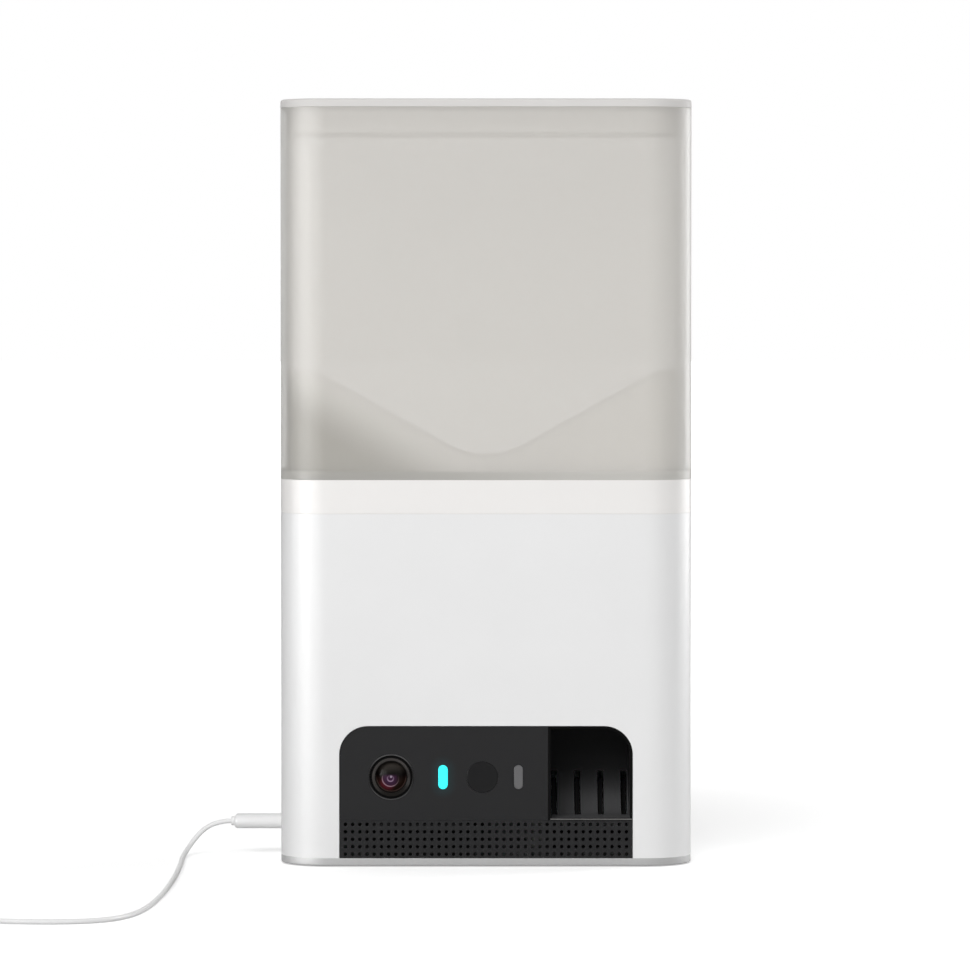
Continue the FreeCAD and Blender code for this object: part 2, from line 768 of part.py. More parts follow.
pad(Drawing(exit_chute, "YZ", chute_inner_right).outline(*ears), size.chute_wall)
pocket(Drawing(exit_chute, "YZ", chute_inner_left).outline(
    (-half_depth - size.cut_margin, size.chute_floor), (-scoop_start, size.chute_floor),
    (-scoop_back, scoop_centre, size.scoop_radius),
    (-scoop_back, size.chute_top + size.cut_margin),
    (size.chute_wall - chute_front, size.chute_top + size.cut_margin),
    (size.chute_wall - chute_front, window_top - size.panel_corner),
    (-half_depth - size.cut_margin, window_top - size.panel_corner)),
    size.chute_width - 2 * size.chute_wall)
mouth_corner = size.panel_corner - size.rim_thickness
pocket(Drawing(exit_chute, "XZ", half_depth + size.cut_margin).outline(
    (chute_inner_left, size.chute_floor), (chute_inner_right, size.chute_floor),
    (chute_inner_right, window_top - mouth_corner),
    (chute_inner_right - mouth_corner, window_top, mouth_corner),
    (chute_inner_left, window_top)),
    half_depth - chute_front + size.cut_margin + 2 * size.chute_wall, back=True)
slot_span = size.slot_pitch * (size.slot_count - 1)
first_slot = chute_left + size.chute_width / 2 - slot_span / 2
slot = pocket(Drawing(exit_chute, "YZ", first_slot - size.slot_width / 2).outline(
    (-size.slot_front, size.chute_floor - 2 * size.scoop_wall),
    (duct_end + size.cut_margin, size.chute_floor - 2 * size.scoop_wall),
    (duct_end + size.cut_margin, size.slot_top), (-size.slot_front, size.slot_top)), size.slot_width)
in_row(exit_chute, slot, "X_Axis", slot_span, size.slot_count)
pocket(Drawing(exit_chute, "YZ", chute_left - size.cut_margin)
       .circle(fork_y, size.fork_z, size.toss_axle_radius + size.running_gap),
       size.chute_width + 2 * size.cut_margin)

# ---------------------------------------------------------------- drop chute
# A tapered duct that leads a treat from the metering floor's hole to the exit chute's open top.
duct_centre_x = chute_left + size.chute_width / 2
duct_centre_y = (duct_end - chute_front) / 2
duct_half_depth = (duct_end + chute_front) / 2


def duct_section(body, lift, centre_x, centre_y, across, deep):
    """The duct's outline at its bottom or top end."""
    return Drawing(body, lift=lift).rectangle(
        centre_x - across, centre_y - deep, centre_x + across, centre_y + deep)


drop_chute = new_body("drop_chute")
for kind, inset in (("AdditiveLoft", 0), ("SubtractiveLoft", size.chute_wall)):
    low_end = duct_section(drop_chute, size.chute_top, duct_centre_x, duct_centre_y,
                           size.chute_width / 2 - inset, duct_half_depth - inset)
    high_end = duct_section(drop_chute, metering_underside, outlet_x, 0,
                            size.duct_top_half - inset, size.duct_top_half - inset)
    loft(kind, drop_chute, low_end, high_end)

# ---------------------------------------------------------------- tossing fork, its axle, sector and pinion
# At rest the tines lean back behind the scoop. The fork swings forward through the slots to toss a treat.
fork_left = chute_inner_left + size.seat_gap
fork_length = size.chute_width - 2 * size.chute_wall - 2 * size.seat_gap
leaned = dict(y=fork_y, z=size.fork_z, axis=Vector(-1, 0, 0), angle=size.fork_lean)
toss_fork = new_body("toss_fork", **leaned)
pad(Drawing(toss_fork, "YZ", fork_left).circle(0, 0, size.fork_hub_radius), fork_length)
tine = pad(Drawing(toss_fork, "YZ", first_slot - size.tine_width / 2).outline(
    (-size.tine_root, 0), (size.tine_root, 0), (size.tine_tip, size.fork_reach),
    (-size.tine_tip, size.fork_reach, size.tine_tip * 1.05)), size.tine_width)
in_row(toss_fork, tine, "X_Axis", slot_span, size.slot_count)
pocket(Drawing(toss_fork, "YZ", fork_left).circle(0, 0, size.toss_axle_radius), fork_length)

toss_axle = new_body("toss_axle", x=toss_gear_x - size.seat_gap, y=fork_y, z=size.fork_z)
pad(Drawing(toss_axle, "YZ").circle(0, 0, size.toss_axle_radius),
    chute_right - toss_gear_x + size.slide_gap)

tooth_step = 360 / size.sector_teeth
sector_root = size.gear_module * size.sector_teeth / 2 - size.gear_dedendum
mesh_local = size.mesh_angle + size.fork_lean
lowest_tooth = mesh_local - tooth_step * (size.sector_shown - 2)
fan_low = lowest_tooth - tooth_step / 2
fan_high = mesh_local + 3 * tooth_step / 2
toss_sector = new_body("toss_sector", **leaned)
pad(Drawing(toss_sector, "YZ", toss_gear_x).outline(
    (0, 0), (sector_root * cosine(fan_low), sector_root * sine(fan_low)),
    (sector_root * cosine(fan_high), sector_root * sine(fan_high), sector_root)), size.toss_gear_width)
sector_tooth = pad(Drawing(toss_sector, "YZ", toss_gear_x).tooth(
    size.sector_teeth, lowest_tooth, size.gear_module), size.toss_gear_width)
around(toss_sector, sector_tooth, "X_Axis", size.sector_shown, tooth_step * (size.sector_shown - 1))
pad(Drawing(toss_sector, "YZ", toss_gear_x).circle(0, 0, size.fork_hub_radius), size.toss_gear_width)
pocket(Drawing(toss_sector, "YZ", toss_gear_x).circle(0, 0, size.toss_axle_radius),
       size.toss_gear_width)

toss_centres = size.gear_module * (size.sector_teeth + size.toss_pinion_teeth) / 2
toss_motor_y = fork_y + toss_centres * cosine(size.mesh_angle)
toss_motor_z = size.fork_z + toss_centres * sine(size.mesh_angle)
toss_pinion_root = size.gear_module * size.toss_pinion_teeth / 2 - size.gear_dedendum
toss_pinion = new_body("toss_pinion", y=toss_motor_y, z=toss_motor_z)
pad(Drawing(toss_pinion, "YZ", toss_gear_x).circle(0, 0, toss_pinion_root), size.toss_gear_width)
small_tooth = pad(Drawing(toss_pinion, "YZ", toss_gear_x).tooth(
    size.toss_pinion_teeth, size.mesh_angle + 180 + 180 / size.toss_pinion_teeth, size.gear_module),
    size.toss_gear_width)
around(toss_pinion, small_tooth, "X_Axis", size.toss_pinion_teeth)
pad(Drawing(toss_pinion, "YZ", toss_gear_x).circle(0, 0, size.motor_shaft_radius),
    2 * size.shaft_reach, back=True)

bracket_right = toss_gear_x - size.slide_gap
motor_face = bracket_right - size.bracket_thickness
toss_motor = new_body("toss_motor", x=motor_face, y=toss_motor_y, z=toss_motor_z)
pad(Drawing(toss_motor, "YZ").circle(0, 0, size.toss_motor_radius), size.toss_motor_length / 3, back=True)
pad(Drawing(toss_motor, "YZ").circle(0, 0, size.toss_motor_radius - size.chute_wall),
    size.toss_motor_length, back=True)
pad(Drawing(toss_motor, "YZ").circle(0, 0, size.motor_boss_radius), size.bracket_thickness)
pocket(Drawing(toss_motor, "YZ", size.bracket_thickness)
       .circle(0, 0, size.motor_shaft_radius + size.running_gap), 2 * size.shaft_reach, back=True)

motor_bracket = new_body("motor_bracket")
bracket_front = toss_motor_y - size.toss_motor_radius
bracket_back = toss_motor_y + size.toss_motor_radius
pad(Drawing(motor_bracket, "YZ", motor_face).outline(
    (bracket_front, base_top), (bracket_back, base_top), (bracket_back, toss_motor_z),
    (toss_motor_y + size.motor_boss_radius, toss_motor_z + size.toss_motor_radius),
    (toss_motor_y - size.motor_boss_radius, toss_motor_z + size.toss_motor_radius),
    (bracket_front, toss_motor_z)), size.bracket_thickness)
pad(Drawing(motor_bracket, lift=base_top).rectangle(
    motor_face - size.bracket_foot, bracket_front, motor_face, bracket_back), size.bracket_thickness)
pocket(Drawing(motor_bracket, "YZ", motor_face).circle(
    toss_motor_y, toss_motor_z, size.motor_boss_radius + size.running_gap), size.bracket_thickness)

# ---------------------------------------------------------------- front panel and speaker grille
panel_back = half_depth - size.shell_wall
front_panel = new_body("front_panel")
pad(Drawing(front_panel, "XZ", half_depth).outline(
    (-panel_half, size.window_bottom), (window_left, size.window_bottom),
    (window_left, size.panel_top), (size.panel_corner - panel_half, size.panel_top),
    (-panel_half, size.panel_top - size.panel_corner, size.panel_corner)),
    size.shell_wall, back=True)
flange_out = panel_half + size.panel_flange
flange_top = size.panel_top + size.panel_flange
flange_corner = size.panel_corner + size.panel_flange
pad(Drawing(front_panel, "XZ", panel_back).outline(
    (-flange_out, size.window_bottom), (size.panel_flange - panel_half, size.window_bottom),
    (size.panel_flange - panel_half, size.panel_top - size.panel_corner),
    (size.panel_corner - panel_half, size.panel_top - size.panel_flange),
    (chute_left - size.seat_gap, size.panel_top - size.panel_flange),
    (chute_left - size.seat_gap, flange_top),
    (flange_corner - flange_out, flange_top), (-flange_out, flange_top - flange_corner, flange_corner)),
    size.panel_flange_thickness, back=True)
pegs = Drawing(front_panel, "XZ", panel_back)
peg_spots = [(infrared_x - size.peg_spread_across, size.instrument_height - size.peg_spread_up),
             (infrared_x + size.peg_spread_across, size.instrument_height + size.peg_spread_up)]
for spot in peg_spots:
    pegs.circle(*spot, size.peg_radius)
pad(pegs, size.pipe_length - size.shell_wall, back=True)
holes = Drawing(front_panel, "XZ", half_depth)
holes.circle(camera_x, size.instrument_height, size.bezel_radius + size.running_gap)
holes.circle(infrared_x, size.instrument_height, size.infrared_radius + size.running_gap)
for x, width in ((status_x, size.status_width), (sensor_x, size.sensor_width)):
    holes.pill(x, size.instrument_height, width + 2 * size.running_gap,
               size.pill_height + 2 * size.running_gap)
pocket(holes, size.shell_wall, back=True)

speaker_grille = new_body("speaker_grille")
pad(Drawing(speaker_grille, "XZ", half_depth).rectangle(
    -panel_half, base_top, panel_half, size.window_bottom - size.running_gap),
    size.grille_thickness, back=True)
pad(Drawing(speaker_grille, "XZ", half_depth - size.grille_thickness).rectangle(
    -panel_half, base_top,
    panel_half, base_top + size.running_gap + size.grille_hole_radius),
    size.shell_wall - size.grille_thickness, back=True)
hexagon = [(size.grille_hole_radius * cosine(turn) - grille_span / 2,
            size.grille_hole_radius * sine(turn) + size.grille_first_height) for turn in range(0, 360, 60)]
hole = pocket(Drawing(speaker_grille, "XZ", half_depth).outline(*hexagon), size.grille_thickness, back=True)
grid = speaker_grille.newObject("PartDesign::MultiTransform", "grid")
grid.Originals = [hole]
across_grid = speaker_grille.newObject("PartDesign::LinearPattern", "columns")
across_grid.Direction = (origin_part(speaker_grille, "X_Axis"), [""])
bind(across_grid, "Length", grille_span)
bind(across_grid, "Occurrences", size.grille_columns)
up_grid = speaker_grille.newObject("PartDesign::LinearPattern", "rows")
up_grid.Direction = (origin_part(speaker_grille, "Z_Axis"), [""])
bind(up_grid, "Length", size.grille_pitch_up * (size.grille_rows - 1))
bind(up_grid, "Occurrences", size.grille_rows)
grid.Transformations = [across_grid, up_grid]
speaker_grille.Tip = grid

# ---------------------------------------------------------------- speaker
speaker_z = size.grille_first_height + size.grille_pitch_up * (size.grille_rows - 1) / 2
speaker_front = panel_back
speaker_frame = new_body("speaker_frame")
pad(Drawing(speaker_frame, "XZ", speaker_front).pill(
    speaker_x, speaker_z, size.speaker_width, size.speaker_height), size.speaker_depth, back=True)
pocket(Drawing(speaker_frame, "XZ", speaker_front).pill(
    speaker_x, speaker_z, size.speaker_width - 2 * size.speaker_wall,
    size.speaker_height - 2 * size.speaker_wall), size.speaker_depth - size.speaker_wall, back=True)
pocket(Drawing(speaker_frame, "XZ", speaker_front).circle(
    speaker_x, speaker_z, size.magnet_radius + size.running_gap), size.speaker_depth, back=True)
speaker_cone = new_body("speaker_cone")
pad(Drawing(speaker_cone, "XZ", speaker_front - size.cone_thickness).pill(
    speaker_x, speaker_z, size.speaker_width - 2 * size.speaker_wall - 2 * size.running_gap,
    size.speaker_height - 2 * size.speaker_wall - 2 * size.running_gap), size.cone_thickness, back=True)
pocket(Drawing(speaker_cone, "XZ", speaker_front - size.cone_thickness).pill(
    speaker_x, speaker_z, size.speaker_width - 6 * size.speaker_wall,
    size.speaker_height - 4 * size.speaker_wall), size.cone_thickness / 2, back=True)
speaker_magnet = new_body("speaker_magnet")
pad(Drawing(speaker_magnet, "XZ", speaker_front - size.speaker_depth + 2 * size.speaker_wall).circle(
    speaker_x, speaker_z, size.magnet_radius), size.magnet_length, back=True)

# ---------------------------------------------------------------- camera: bezel, barrel, lens and board
camera_at = dict(x=camera_x, z=size.instrument_height)
lens_bezel = new_body("lens_bezel", **camera_at)
groove_out = size.bezel_radius - size.bezel_rim
groove_in = groove_out - size.bezel_groove
groove_floor = -half_depth + size.bezel_groove_depth
revolve(Drawing(lens_bezel).outline(
    (size.bezel_bore, -half_depth + size.bezel_depth), (size.bezel_bore, -half_depth + size.bezel_depth / 2),
    (groove_in, -half_depth), (groove_in, groove_floor), (groove_out, groove_floor),
    (groove_out, -half_depth), (size.bezel_radius, -half_depth),
    (size.bezel_radius, -half_depth + size.bezel_depth)), "Y_Axis")
barrel_front = -half_depth + size.bezel_depth / 2
barrel_step = -panel_back
barrel_back = barrel_step + size.barrel_length
throat = size.lens_radius - size.lens_thickness
lens_barrel = new_body("lens_barrel", **camera_at)
revolve(Drawing(lens_barrel).outline(
    (0, barrel_back), (0, barrel_back - size.shell_wall), (throat, barrel_back - size.shell_wall),
    (throat, barrel_step + size.lens_bulge),
    (size.lens_radius + size.running_gap, barrel_step + size.lens_bulge),
    (size.lens_radius + size.running_gap, barrel_front), (size.bezel_bore - size.running_gap, barrel_front),
    (size.bezel_bore - size.running_gap, barrel_step), (size.barrel_radius, barrel_step),
    (size.barrel_radius, barrel_back)), "Y_Axis")
lens_back = barrel_step + size.lens_bulge
lens_edge = lens_back - size.lens_thickness
dome = (size.lens_radius * size.lens_radius + size.lens_bulge * size.lens_bulge) / (2 * size.lens_bulge)
front_lens = new_body("front_lens", **camera_at)
revolve(Drawing(front_lens).outline(
    (0, lens_back), (0, lens_edge - size.lens_bulge), (size.lens_radius, lens_edge, dome),
    (size.lens_radius, lens_back)), "Y_Axis")
camera_board = new_body("camera_board")
pad(Drawing(camera_board, "XZ", -barrel_back).rounded(
    camera_x - size.camera_board_side / 2, size.instrument_height - size.camera_board_side / 2,
    camera_x + size.camera_board_side / 2, size.instrument_height + size.camera_board_side / 2,
    size.board_thickness), size.board_thickness, back=True)

# ---------------------------------------------------------------- lights and sensors beside the camera
pipe_back = half_depth - size.pipe_length
for name, x, width in (("status_light_pipe", status_x, size.status_width),
                       ("sensor_light_pipe", sensor_x, size.sensor_width)):
    pipe = new_body(name)
    pad(Drawing(pipe, "XZ", half_depth).pill(x, size.instrument_height, width, size.pill_height),
        size.pipe_length, back=True)
night_vision_window = new_body("night_vision_window", x=infrared_x, z=size.instrument_height)
pad(Drawing(night_vision_window, "XZ", half_depth).circle(0, 0, size.infrared_radius),
    size.infrared_thickness, back=True)
infrared_emitter = new_body("infrared_emitter", x=infrared_x, z=size.instrument_height)
emitter_tip = half_depth - size.infrared_thickness - size.seat_gap
revolve(Drawing(infrared_emitter).outline(
    (0, -pipe_back), (0, -emitter_tip), (size.emitter_radius / 2, -emitter_tip),
    (size.emitter_radius, size.emitter_radius / 2 - emitter_tip),
    (size.emitter_radius, -pipe_back)), "Y_Axis")
indicator_board = new_body("indicator_board")
pad(Drawing(indicator_board, "XZ", pipe_back).rounded(
    status_x - size.pill_height / 2, size.instrument_height - 3 * size.pill_height / 4,
    sensor_x + size.pill_height / 2, size.instrument_height + 3 * size.pill_height / 4,
    size.board_thickness), size.board_thickness, back=True)

# ---------------------------------------------------------------- main board, socket, reset switch, button
board_top = size.board_height + size.board_thickness
main_board = new_body("main_board")
pad(Drawing(main_board, lift=size.board_height).outline(
    (-board_left, -size.board_front), (board_right, -size.board_front),
    (board_right, board_back), (-board_notch_x, board_back),
    (-board_notch_x, board_notch_y), (-board_left, board_notch_y)),
    size.board_thickness)
board_chips = new_body("board_chips")
chips = Drawing(board_chips, lift=board_top)
for x, y, half in ((-38.0, 4.0, 6.0), (-20.0, 3.0, 4.5), (-14.0, 17.0, 5.5), (-42.0, 17.0, 3.5)):
    chips.rectangle(x - half, y - half, x + half, y + half)
pad(chips, size.board_thickness)

socket_mouth = size.shell_wall + size.seat_gap - half_width
power_socket = new_body("power_socket")
pad(Drawing(power_socket, "YZ", socket_mouth).rounded(
    size.port_y - size.socket_width / 2, size.port_z - size.socket_height / 2,
    size.port_y + size.socket_width / 2, size.port_z + size.socket_height / 2, 2 * size.socket_wall),
    size.socket_length)
pocket(Drawing(power_socket, "YZ", socket_mouth).rounded(
    size.port_y - size.socket_width / 2 + size.socket_wall,
    size.port_z - size.socket_height / 2 + size.socket_wall,
    size.port_y + size.socket_width / 2 - size.socket_wall,
    size.port_z + size.socket_height / 2 - size.socket_wall,
    size.socket_wall), size.socket_length - size.socket_wall)

flange_front = half_depth - size.shell_wall - size.slide_gap
switch_face = board_back
reset_tip = switch_face + size.reset_travel + size.seat_gap
reset_button = new_body("reset_button", x=size.reset_x, z=size.reset_z)
pad(Drawing(reset_button, "XZ", -half_depth + size.running_gap).circle(0, 0, size.reset_radius),
    half_depth - size.running_gap - reset_tip)
pad(Drawing(reset_button, "XZ", -flange_front).circle(0, 0, size.reset_flange), size.shell_wall / 2)
reset_switch = new_body("reset_switch")
pad(Drawing(reset_switch, lift=board_top).rectangle(
    size.reset_x - size.reset_flange, switch_face - size.switch_depth, size.reset_x + size.reset_flange,
    switch_face), 2 * (size.reset_z - board_top))

# ---------------------------------------------------------------- treat container, hopper floor and seal
# The container is a translucent tube on a spigot that docks in the collar. The hopper floor inside it is
# a trough that runs from front to back on a skirt all round, with a spout at its lowest point.
spigot_inset = size.shell_wall + size.slide_gap
spigot_inner = spigot_inset + size.container_spigot_wall
treat_container = new_body("treat_container")
pad(Drawing(treat_container, lift=collar_top).footprint(), lid_seam - collar_top)
pad(Drawing(treat_container, lift=collar_top).footprint(spigot_inset), size.container_spigot, back=True)
pocket(Drawing(treat_container, lift=collar_top + size.container_foot).footprint(size.container_wall),
       lid_seam - collar_top - size.container_foot)
pocket(Drawing(treat_container, lift=collar_top - size.container_spigot).footprint(spigot_inner),
       size.container_spigot + size.container_foot)
seal_bottom = collar_top - size.seal_drop - size.seal_height
pocket(Drawing(treat_container, lift=seal_bottom).footprint(spigot_inset - size.cut_margin)
       .footprint(spigot_inset + size.seal_depth), size.seal_height)
container_seal = new_body("container_seal")
pad(Drawing(container_seal, lift=seal_bottom + size.running_gap).footprint(spigot_inset)
    .footprint(spigot_inset + size.seal_depth - size.running_gap), size.seal_height - 2 * size.running_gap)

floor_inset = size.container_wall + size.seat_gap
floor_half = half_width - floor_inset
floor_deep = half_depth - floor_inset
slope_tan = tangent(size.trough_slope)
bend_x = size.trough_radius * sine(size.trough_slope)
bend_z = trough_bottom + size.trough_radius * (1 - cosine(size.trough_slope))
under_radius = size.trough_radius + size.trough_thickness
under_x = under_radius * sine(size.trough_slope)
under_z = trough_bottom + size.trough_radius - under_radius * cosine(size.trough_slope)
edge_half = floor_half - size.trough_ledge
edge_z = bend_z + (edge_half - bend_x) * slope_tan
under_edge_z = under_z + (edge_half - under_x) * slope_tan
skirt_foot = collar_top + size.container_foot
hopper_floor = new_body("hopper_floor")
pad(Drawing(hopper_floor, "XZ", -floor_deep).outline(
    (-floor_half, under_edge_z), (-edge_half, under_edge_z), (-under_x, under_z),
    (under_x, under_z, under_radius), (edge_half, under_edge_z), (floor_half, under_edge_z),
    (floor_half, edge_z), (edge_half, edge_z), (bend_x, bend_z), (-bend_x, bend_z, -size.trough_radius),
    (-edge_half, edge_z), (-floor_half, edge_z)), 2 * floor_deep)
pad(Drawing(hopper_floor, lift=skirt_foot).footprint(floor_inset)
    .footprint(floor_inset + size.trough_thickness), edge_z - skirt_foot)
spout_bottom = deck_top + size.slide_gap
pad(Drawing(hopper_floor, lift=spout_bottom).circle(0, 0, spout_radius),
    bend_z - spout_bottom + spout_radius)
pocket(Drawing(hopper_floor, "XZ", -floor_deep).outline(
    (-edge_half, edge_z), (-bend_x, bend_z), (bend_x, bend_z, size.trough_radius), (edge_half, edge_z)),
    2 * floor_deep)
pocket(Drawing(hopper_floor, lift=spout_bottom).circle(0, 0, size.treat_hole_radius), bend_z - spout_bottom)
trim = Drawing(hopper_floor, lift=skirt_foot)
trim.rectangle(-half_width, -half_depth, half_width, half_depth)
pocket(trim.footprint(floor_inset), edge_z - skirt_foot + size.cut_margin)

# ---------------------------------------------------------------- lid and its gasket
skirt_inset = size.container_wall + size.slide_gap
gasket_bottom = lid_seam - size.gasket_drop
lid_cover = new_body("lid_cover")
lid_plate = pad(Drawing(lid_cover, lift=lid_seam).footprint(), size.lid_thickness)
ease_edges(lid_cover, lid_plate, size.lid_edge_chamfer,
           lambda point: abs(point.z - size.body_height.value) < 0.01)
pad(Drawing(lid_cover, lift=lid_seam).footprint(skirt_inset).footprint(skirt_inset + size.skirt_wall),
    size.skirt_depth, back=True)
pocket(Drawing(lid_cover, lift=gasket_bottom).footprint(skirt_inset - size.cut_margin / 4)
       .footprint(skirt_inset + size.seal_depth), size.seal_height)
lid_gasket = new_body("lid_gasket")
pad(Drawing(lid_gasket, lift=gasket_bottom + size.running_gap).footprint(skirt_inset)
    .footprint(skirt_inset + size.seal_depth - size.running_gap), size.seal_height - 2 * size.running_gap)

# ---------------------------------------------------------------- power plug and cord
plug_face = -half_width - size.running_gap
plug_end = plug_face - size.plug_length
power_plug = new_body("power_plug")
grip_body = pad(Drawing(power_plug, "YZ", plug_face).pill(
    size.port_y, size.port_z, size.plug_width, size.plug_height), size.plug_length, back=True)
ease_edges(power_plug, grip_body, size.plug_edge, lambda point: abs(point.x - plug_end.value) < 0.01)
plug_tip = new_body("plug_tip")
pad(Drawing(plug_tip, "YZ", plug_face).rounded(
    size.port_y - size.tip_width / 2, size.port_z - size.tip_height / 2,
    size.port_y + size.tip_width / 2, size.port_z + size.tip_height / 2, size.socket_wall), size.tip_reach)
strain_relief = new_body("strain_relief", y=size.port_y, z=size.port_z)
relief_end = plug_end - size.relief_length
revolve(Drawing(strain_relief).outline(
    (plug_end, 0), (plug_end, size.relief_radius), (relief_end + size.relief_edge, size.relief_radius),
    (relief_end, size.relief_radius - size.relief_edge), (relief_end, 0)), "X_Axis")


def rounded_route(points):
    """Straight runs joined by tangent arcs, each arc as large as its two runs allow."""
    edges = []
    here = points[0]
    for before, corner, after in zip(points, points[1:], points[2:]):
        back = before - corner
        ahead = after - corner
        reach = 0.45 * min(back.Length, ahead.Length)
        turn = math.pi - back.getAngle(ahead)
        radius = reach / math.tan(turn / 2)
        print(f"cord bend: radius {radius:.1f} mm, turn {math.degrees(turn):.1f} degrees")
        back.normalize()
        ahead.normalize()
        start = corner + back * reach
        end = corner + ahead * reach
        middle = corner + (back + ahead).normalize() * (reach / math.sin(turn / 2) - radius)
        edges.append(Part.LineSegment(here, start))
        edges.append(Part.Arc(start, middle, end))
        here = end
    edges.append(Part.LineSegment(here, points[-1]))
    return [edge.toShape() for edge in edges]


def cord_tube(name, route):
    """The plain round solid of a cord along its route, with x measured from the casing's left side."""
    edges = rounded_route([Vector(x - half_width.value, y, z) for x, y, z in route])
    spine = Part.Wire(edges)
    radius = size.cord_radius.value
    section = Part.Wire([Part.Circle(edges[0].valueAt(0), edges[0].tangentAt(0), radius).toShape()])
    tube = spine.makePipeShell([section], True, False)
    expected = math.pi * radius ** 2 * spine.Length
    print(f"{name}: length {spine.Length:.1f} mm, volume {tube.Volume:.1f} of {expected:.1f}")
    piece = document.addObject("Part::Feature", name)
    piece.Label = name
    piece.Shape = tube
    pieces.append(piece)


# The cord leaves the plug level, drops to the floor and runs forward, then turns aside to its coil.
cord_tube("power_cord", [
    (-19.05, 8, 12), (-23.1, 8, 11.8), (-28.5, 7.9, 9.5), (-32.4, 6.4, 5.3), (-34.7, 2.6, 2),
    (-35.4, -5, 0.95), (-35.3, -18, 0.95), (-34.6, -42, 0.95), (-34.4, -82, 0.95), (-35, -120, 0.95),
    (-36.4, -152, 0.95), (-38.5, -176, 0.95), (-41.7, -193, 0.95), (-47.1, -205, 0.95), (-56, -211.2, 0.95),
    (-68.5, -213, 1), (-81.5, -212.6, 1.2), (-94.5, -212.5, 1.7), (-104.5, -212.6, 2.2)])
cord_tube("cord_tail", [
    (-125.1, -194.5, 3.1), (-125.3, -187.5, 3.2), (-125.7, -180.05, 3.3)])

coil_x = -half_width - size.coil_out
cord_coil = new_body("cord_coil", x=coil_x, y=size.coil_y, z=size.coil_lift)
pad(Drawing(cord_coil).circle(0, 0, size.coil_outer).circle(0, 0, size.coil_inner), size.coil_height)
bundle_middle = (size.coil_outer + size.coil_inner) / 2
bundle_half = (size.coil_outer - size.coil_inner) / 2 + size.seat_gap
cord_tie = new_body("cord_tie", x=coil_x, y=size.coil_y, z=size.coil_lift)
pad(Drawing(cord_tie, "YZ", -size.tie_width / 2).rectangle(
    bundle_middle - bundle_half - size.tie_thickness, -size.tie_thickness,
    bundle_middle + bundle_half + size.tie_thickness, size.coil_height + size.tie_thickness), size.tie_width)
pocket(Drawing(cord_tie, "YZ", -size.tie_width / 2).rectangle(
    bundle_middle - bundle_half, 0, bundle_middle + bundle_half, size.coil_height), size.tie_width)

grip_back = size.coil_y + size.grip_behind
grip_x = coil_x - size.grip_out
usb_grip = new_body("usb_grip", x=grip_x)
usb_block = pad(Drawing(usb_grip, "XZ", -grip_back).rounded(
    -size.grip_width / 2, 0, size.grip_width / 2, size.grip_height, size.grip_edge),
    size.grip_length, back=True)
ease_edges(usb_grip, usb_block, size.grip_edge / 2, lambda point: abs(point.y - grip_back.value) < 0.01)
usb_shell = new_body("usb_shell", x=grip_x)
shell_low = (size.grip_height - size.tongue_height) / 2
shell_high = (size.grip_height + size.tongue_height) / 2
tongue_front = grip_back + size.grip_length
pad(Drawing(usb_shell, "XZ", -tongue_front).rectangle(
    -size.tongue_width / 2, shell_low, size.tongue_width / 2, shell_high), size.tongue_length, back=True)
pocket(Drawing(usb_shell, "XZ", -tongue_front - size.socket_wall).rectangle(
    size.socket_wall - size.tongue_width / 2, (shell_low + shell_high) / 2,
    size.tongue_width / 2 - size.socket_wall, shell_high - size.socket_wall), size.tongue_length, back=True)

# ---------------------------------------------------------------- checks and files
document.recompute()
for item in document.Objects:
    if {"Invalid", "Error"} & set(item.State):
        raise RuntimeError(f"{item.Name} of {item.getParentGeoFeatureGroup()} failed: {item.State}")
    base = getattr(item, "BaseFeature", None)
    if item.TypeId in ("PartDesign::Pocket", "PartDesign::SubtractiveLoft") and base is not None:
        if item.Shape.Volume >= base.Shape.Volume - 1e-6:
            raise RuntimeError(f"{item.Name} cuts nothing")
os.makedirs("parts", exist_ok=True)
for piece in pieces:
    if piece.Shape.isNull() or not piece.Shape.isValid():
        raise RuntimeError(f"{piece.Label} is not a valid shape")
    piece.Shape.exportStep(f"parts/{piece.Label}.step")
print(f"{len(pieces)} sub-parts")
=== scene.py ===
import math

import bmesh
import bpy
from mathutils import Matrix, Vector


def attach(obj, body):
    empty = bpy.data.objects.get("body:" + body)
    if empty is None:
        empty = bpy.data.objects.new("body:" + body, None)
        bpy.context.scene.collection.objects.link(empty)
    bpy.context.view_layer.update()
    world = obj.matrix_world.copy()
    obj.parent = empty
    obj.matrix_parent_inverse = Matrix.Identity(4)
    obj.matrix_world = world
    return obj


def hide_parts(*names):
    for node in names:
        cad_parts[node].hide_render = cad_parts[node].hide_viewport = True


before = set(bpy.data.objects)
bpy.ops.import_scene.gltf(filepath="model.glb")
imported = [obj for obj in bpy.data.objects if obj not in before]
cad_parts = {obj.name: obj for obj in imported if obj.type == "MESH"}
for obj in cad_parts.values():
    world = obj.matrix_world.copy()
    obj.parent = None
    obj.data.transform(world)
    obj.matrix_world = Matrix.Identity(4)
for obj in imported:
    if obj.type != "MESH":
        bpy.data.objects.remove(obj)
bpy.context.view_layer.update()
mm = 0.001

# Viewpoint. The scene's camera stands level with the upper half of the tower, almost two metres in front,
# and looks slightly down through a long lens.
camera_data = bpy.data.cameras.new("camera")
camera_data.sensor_width = 36
camera_data.lens = 201.2
camera_data.clip_start = 0.05
camera_data.clip_end = 60
camera = bpy.data.objects.new("camera", camera_data)
bpy.context.scene.collection.objects.link(camera)
camera.location = (-0.35 * mm, -1937 * mm, 200 * mm)
camera.rotation_euler = (math.radians(88.013), 0, 0)
bpy.context.scene.camera = camera


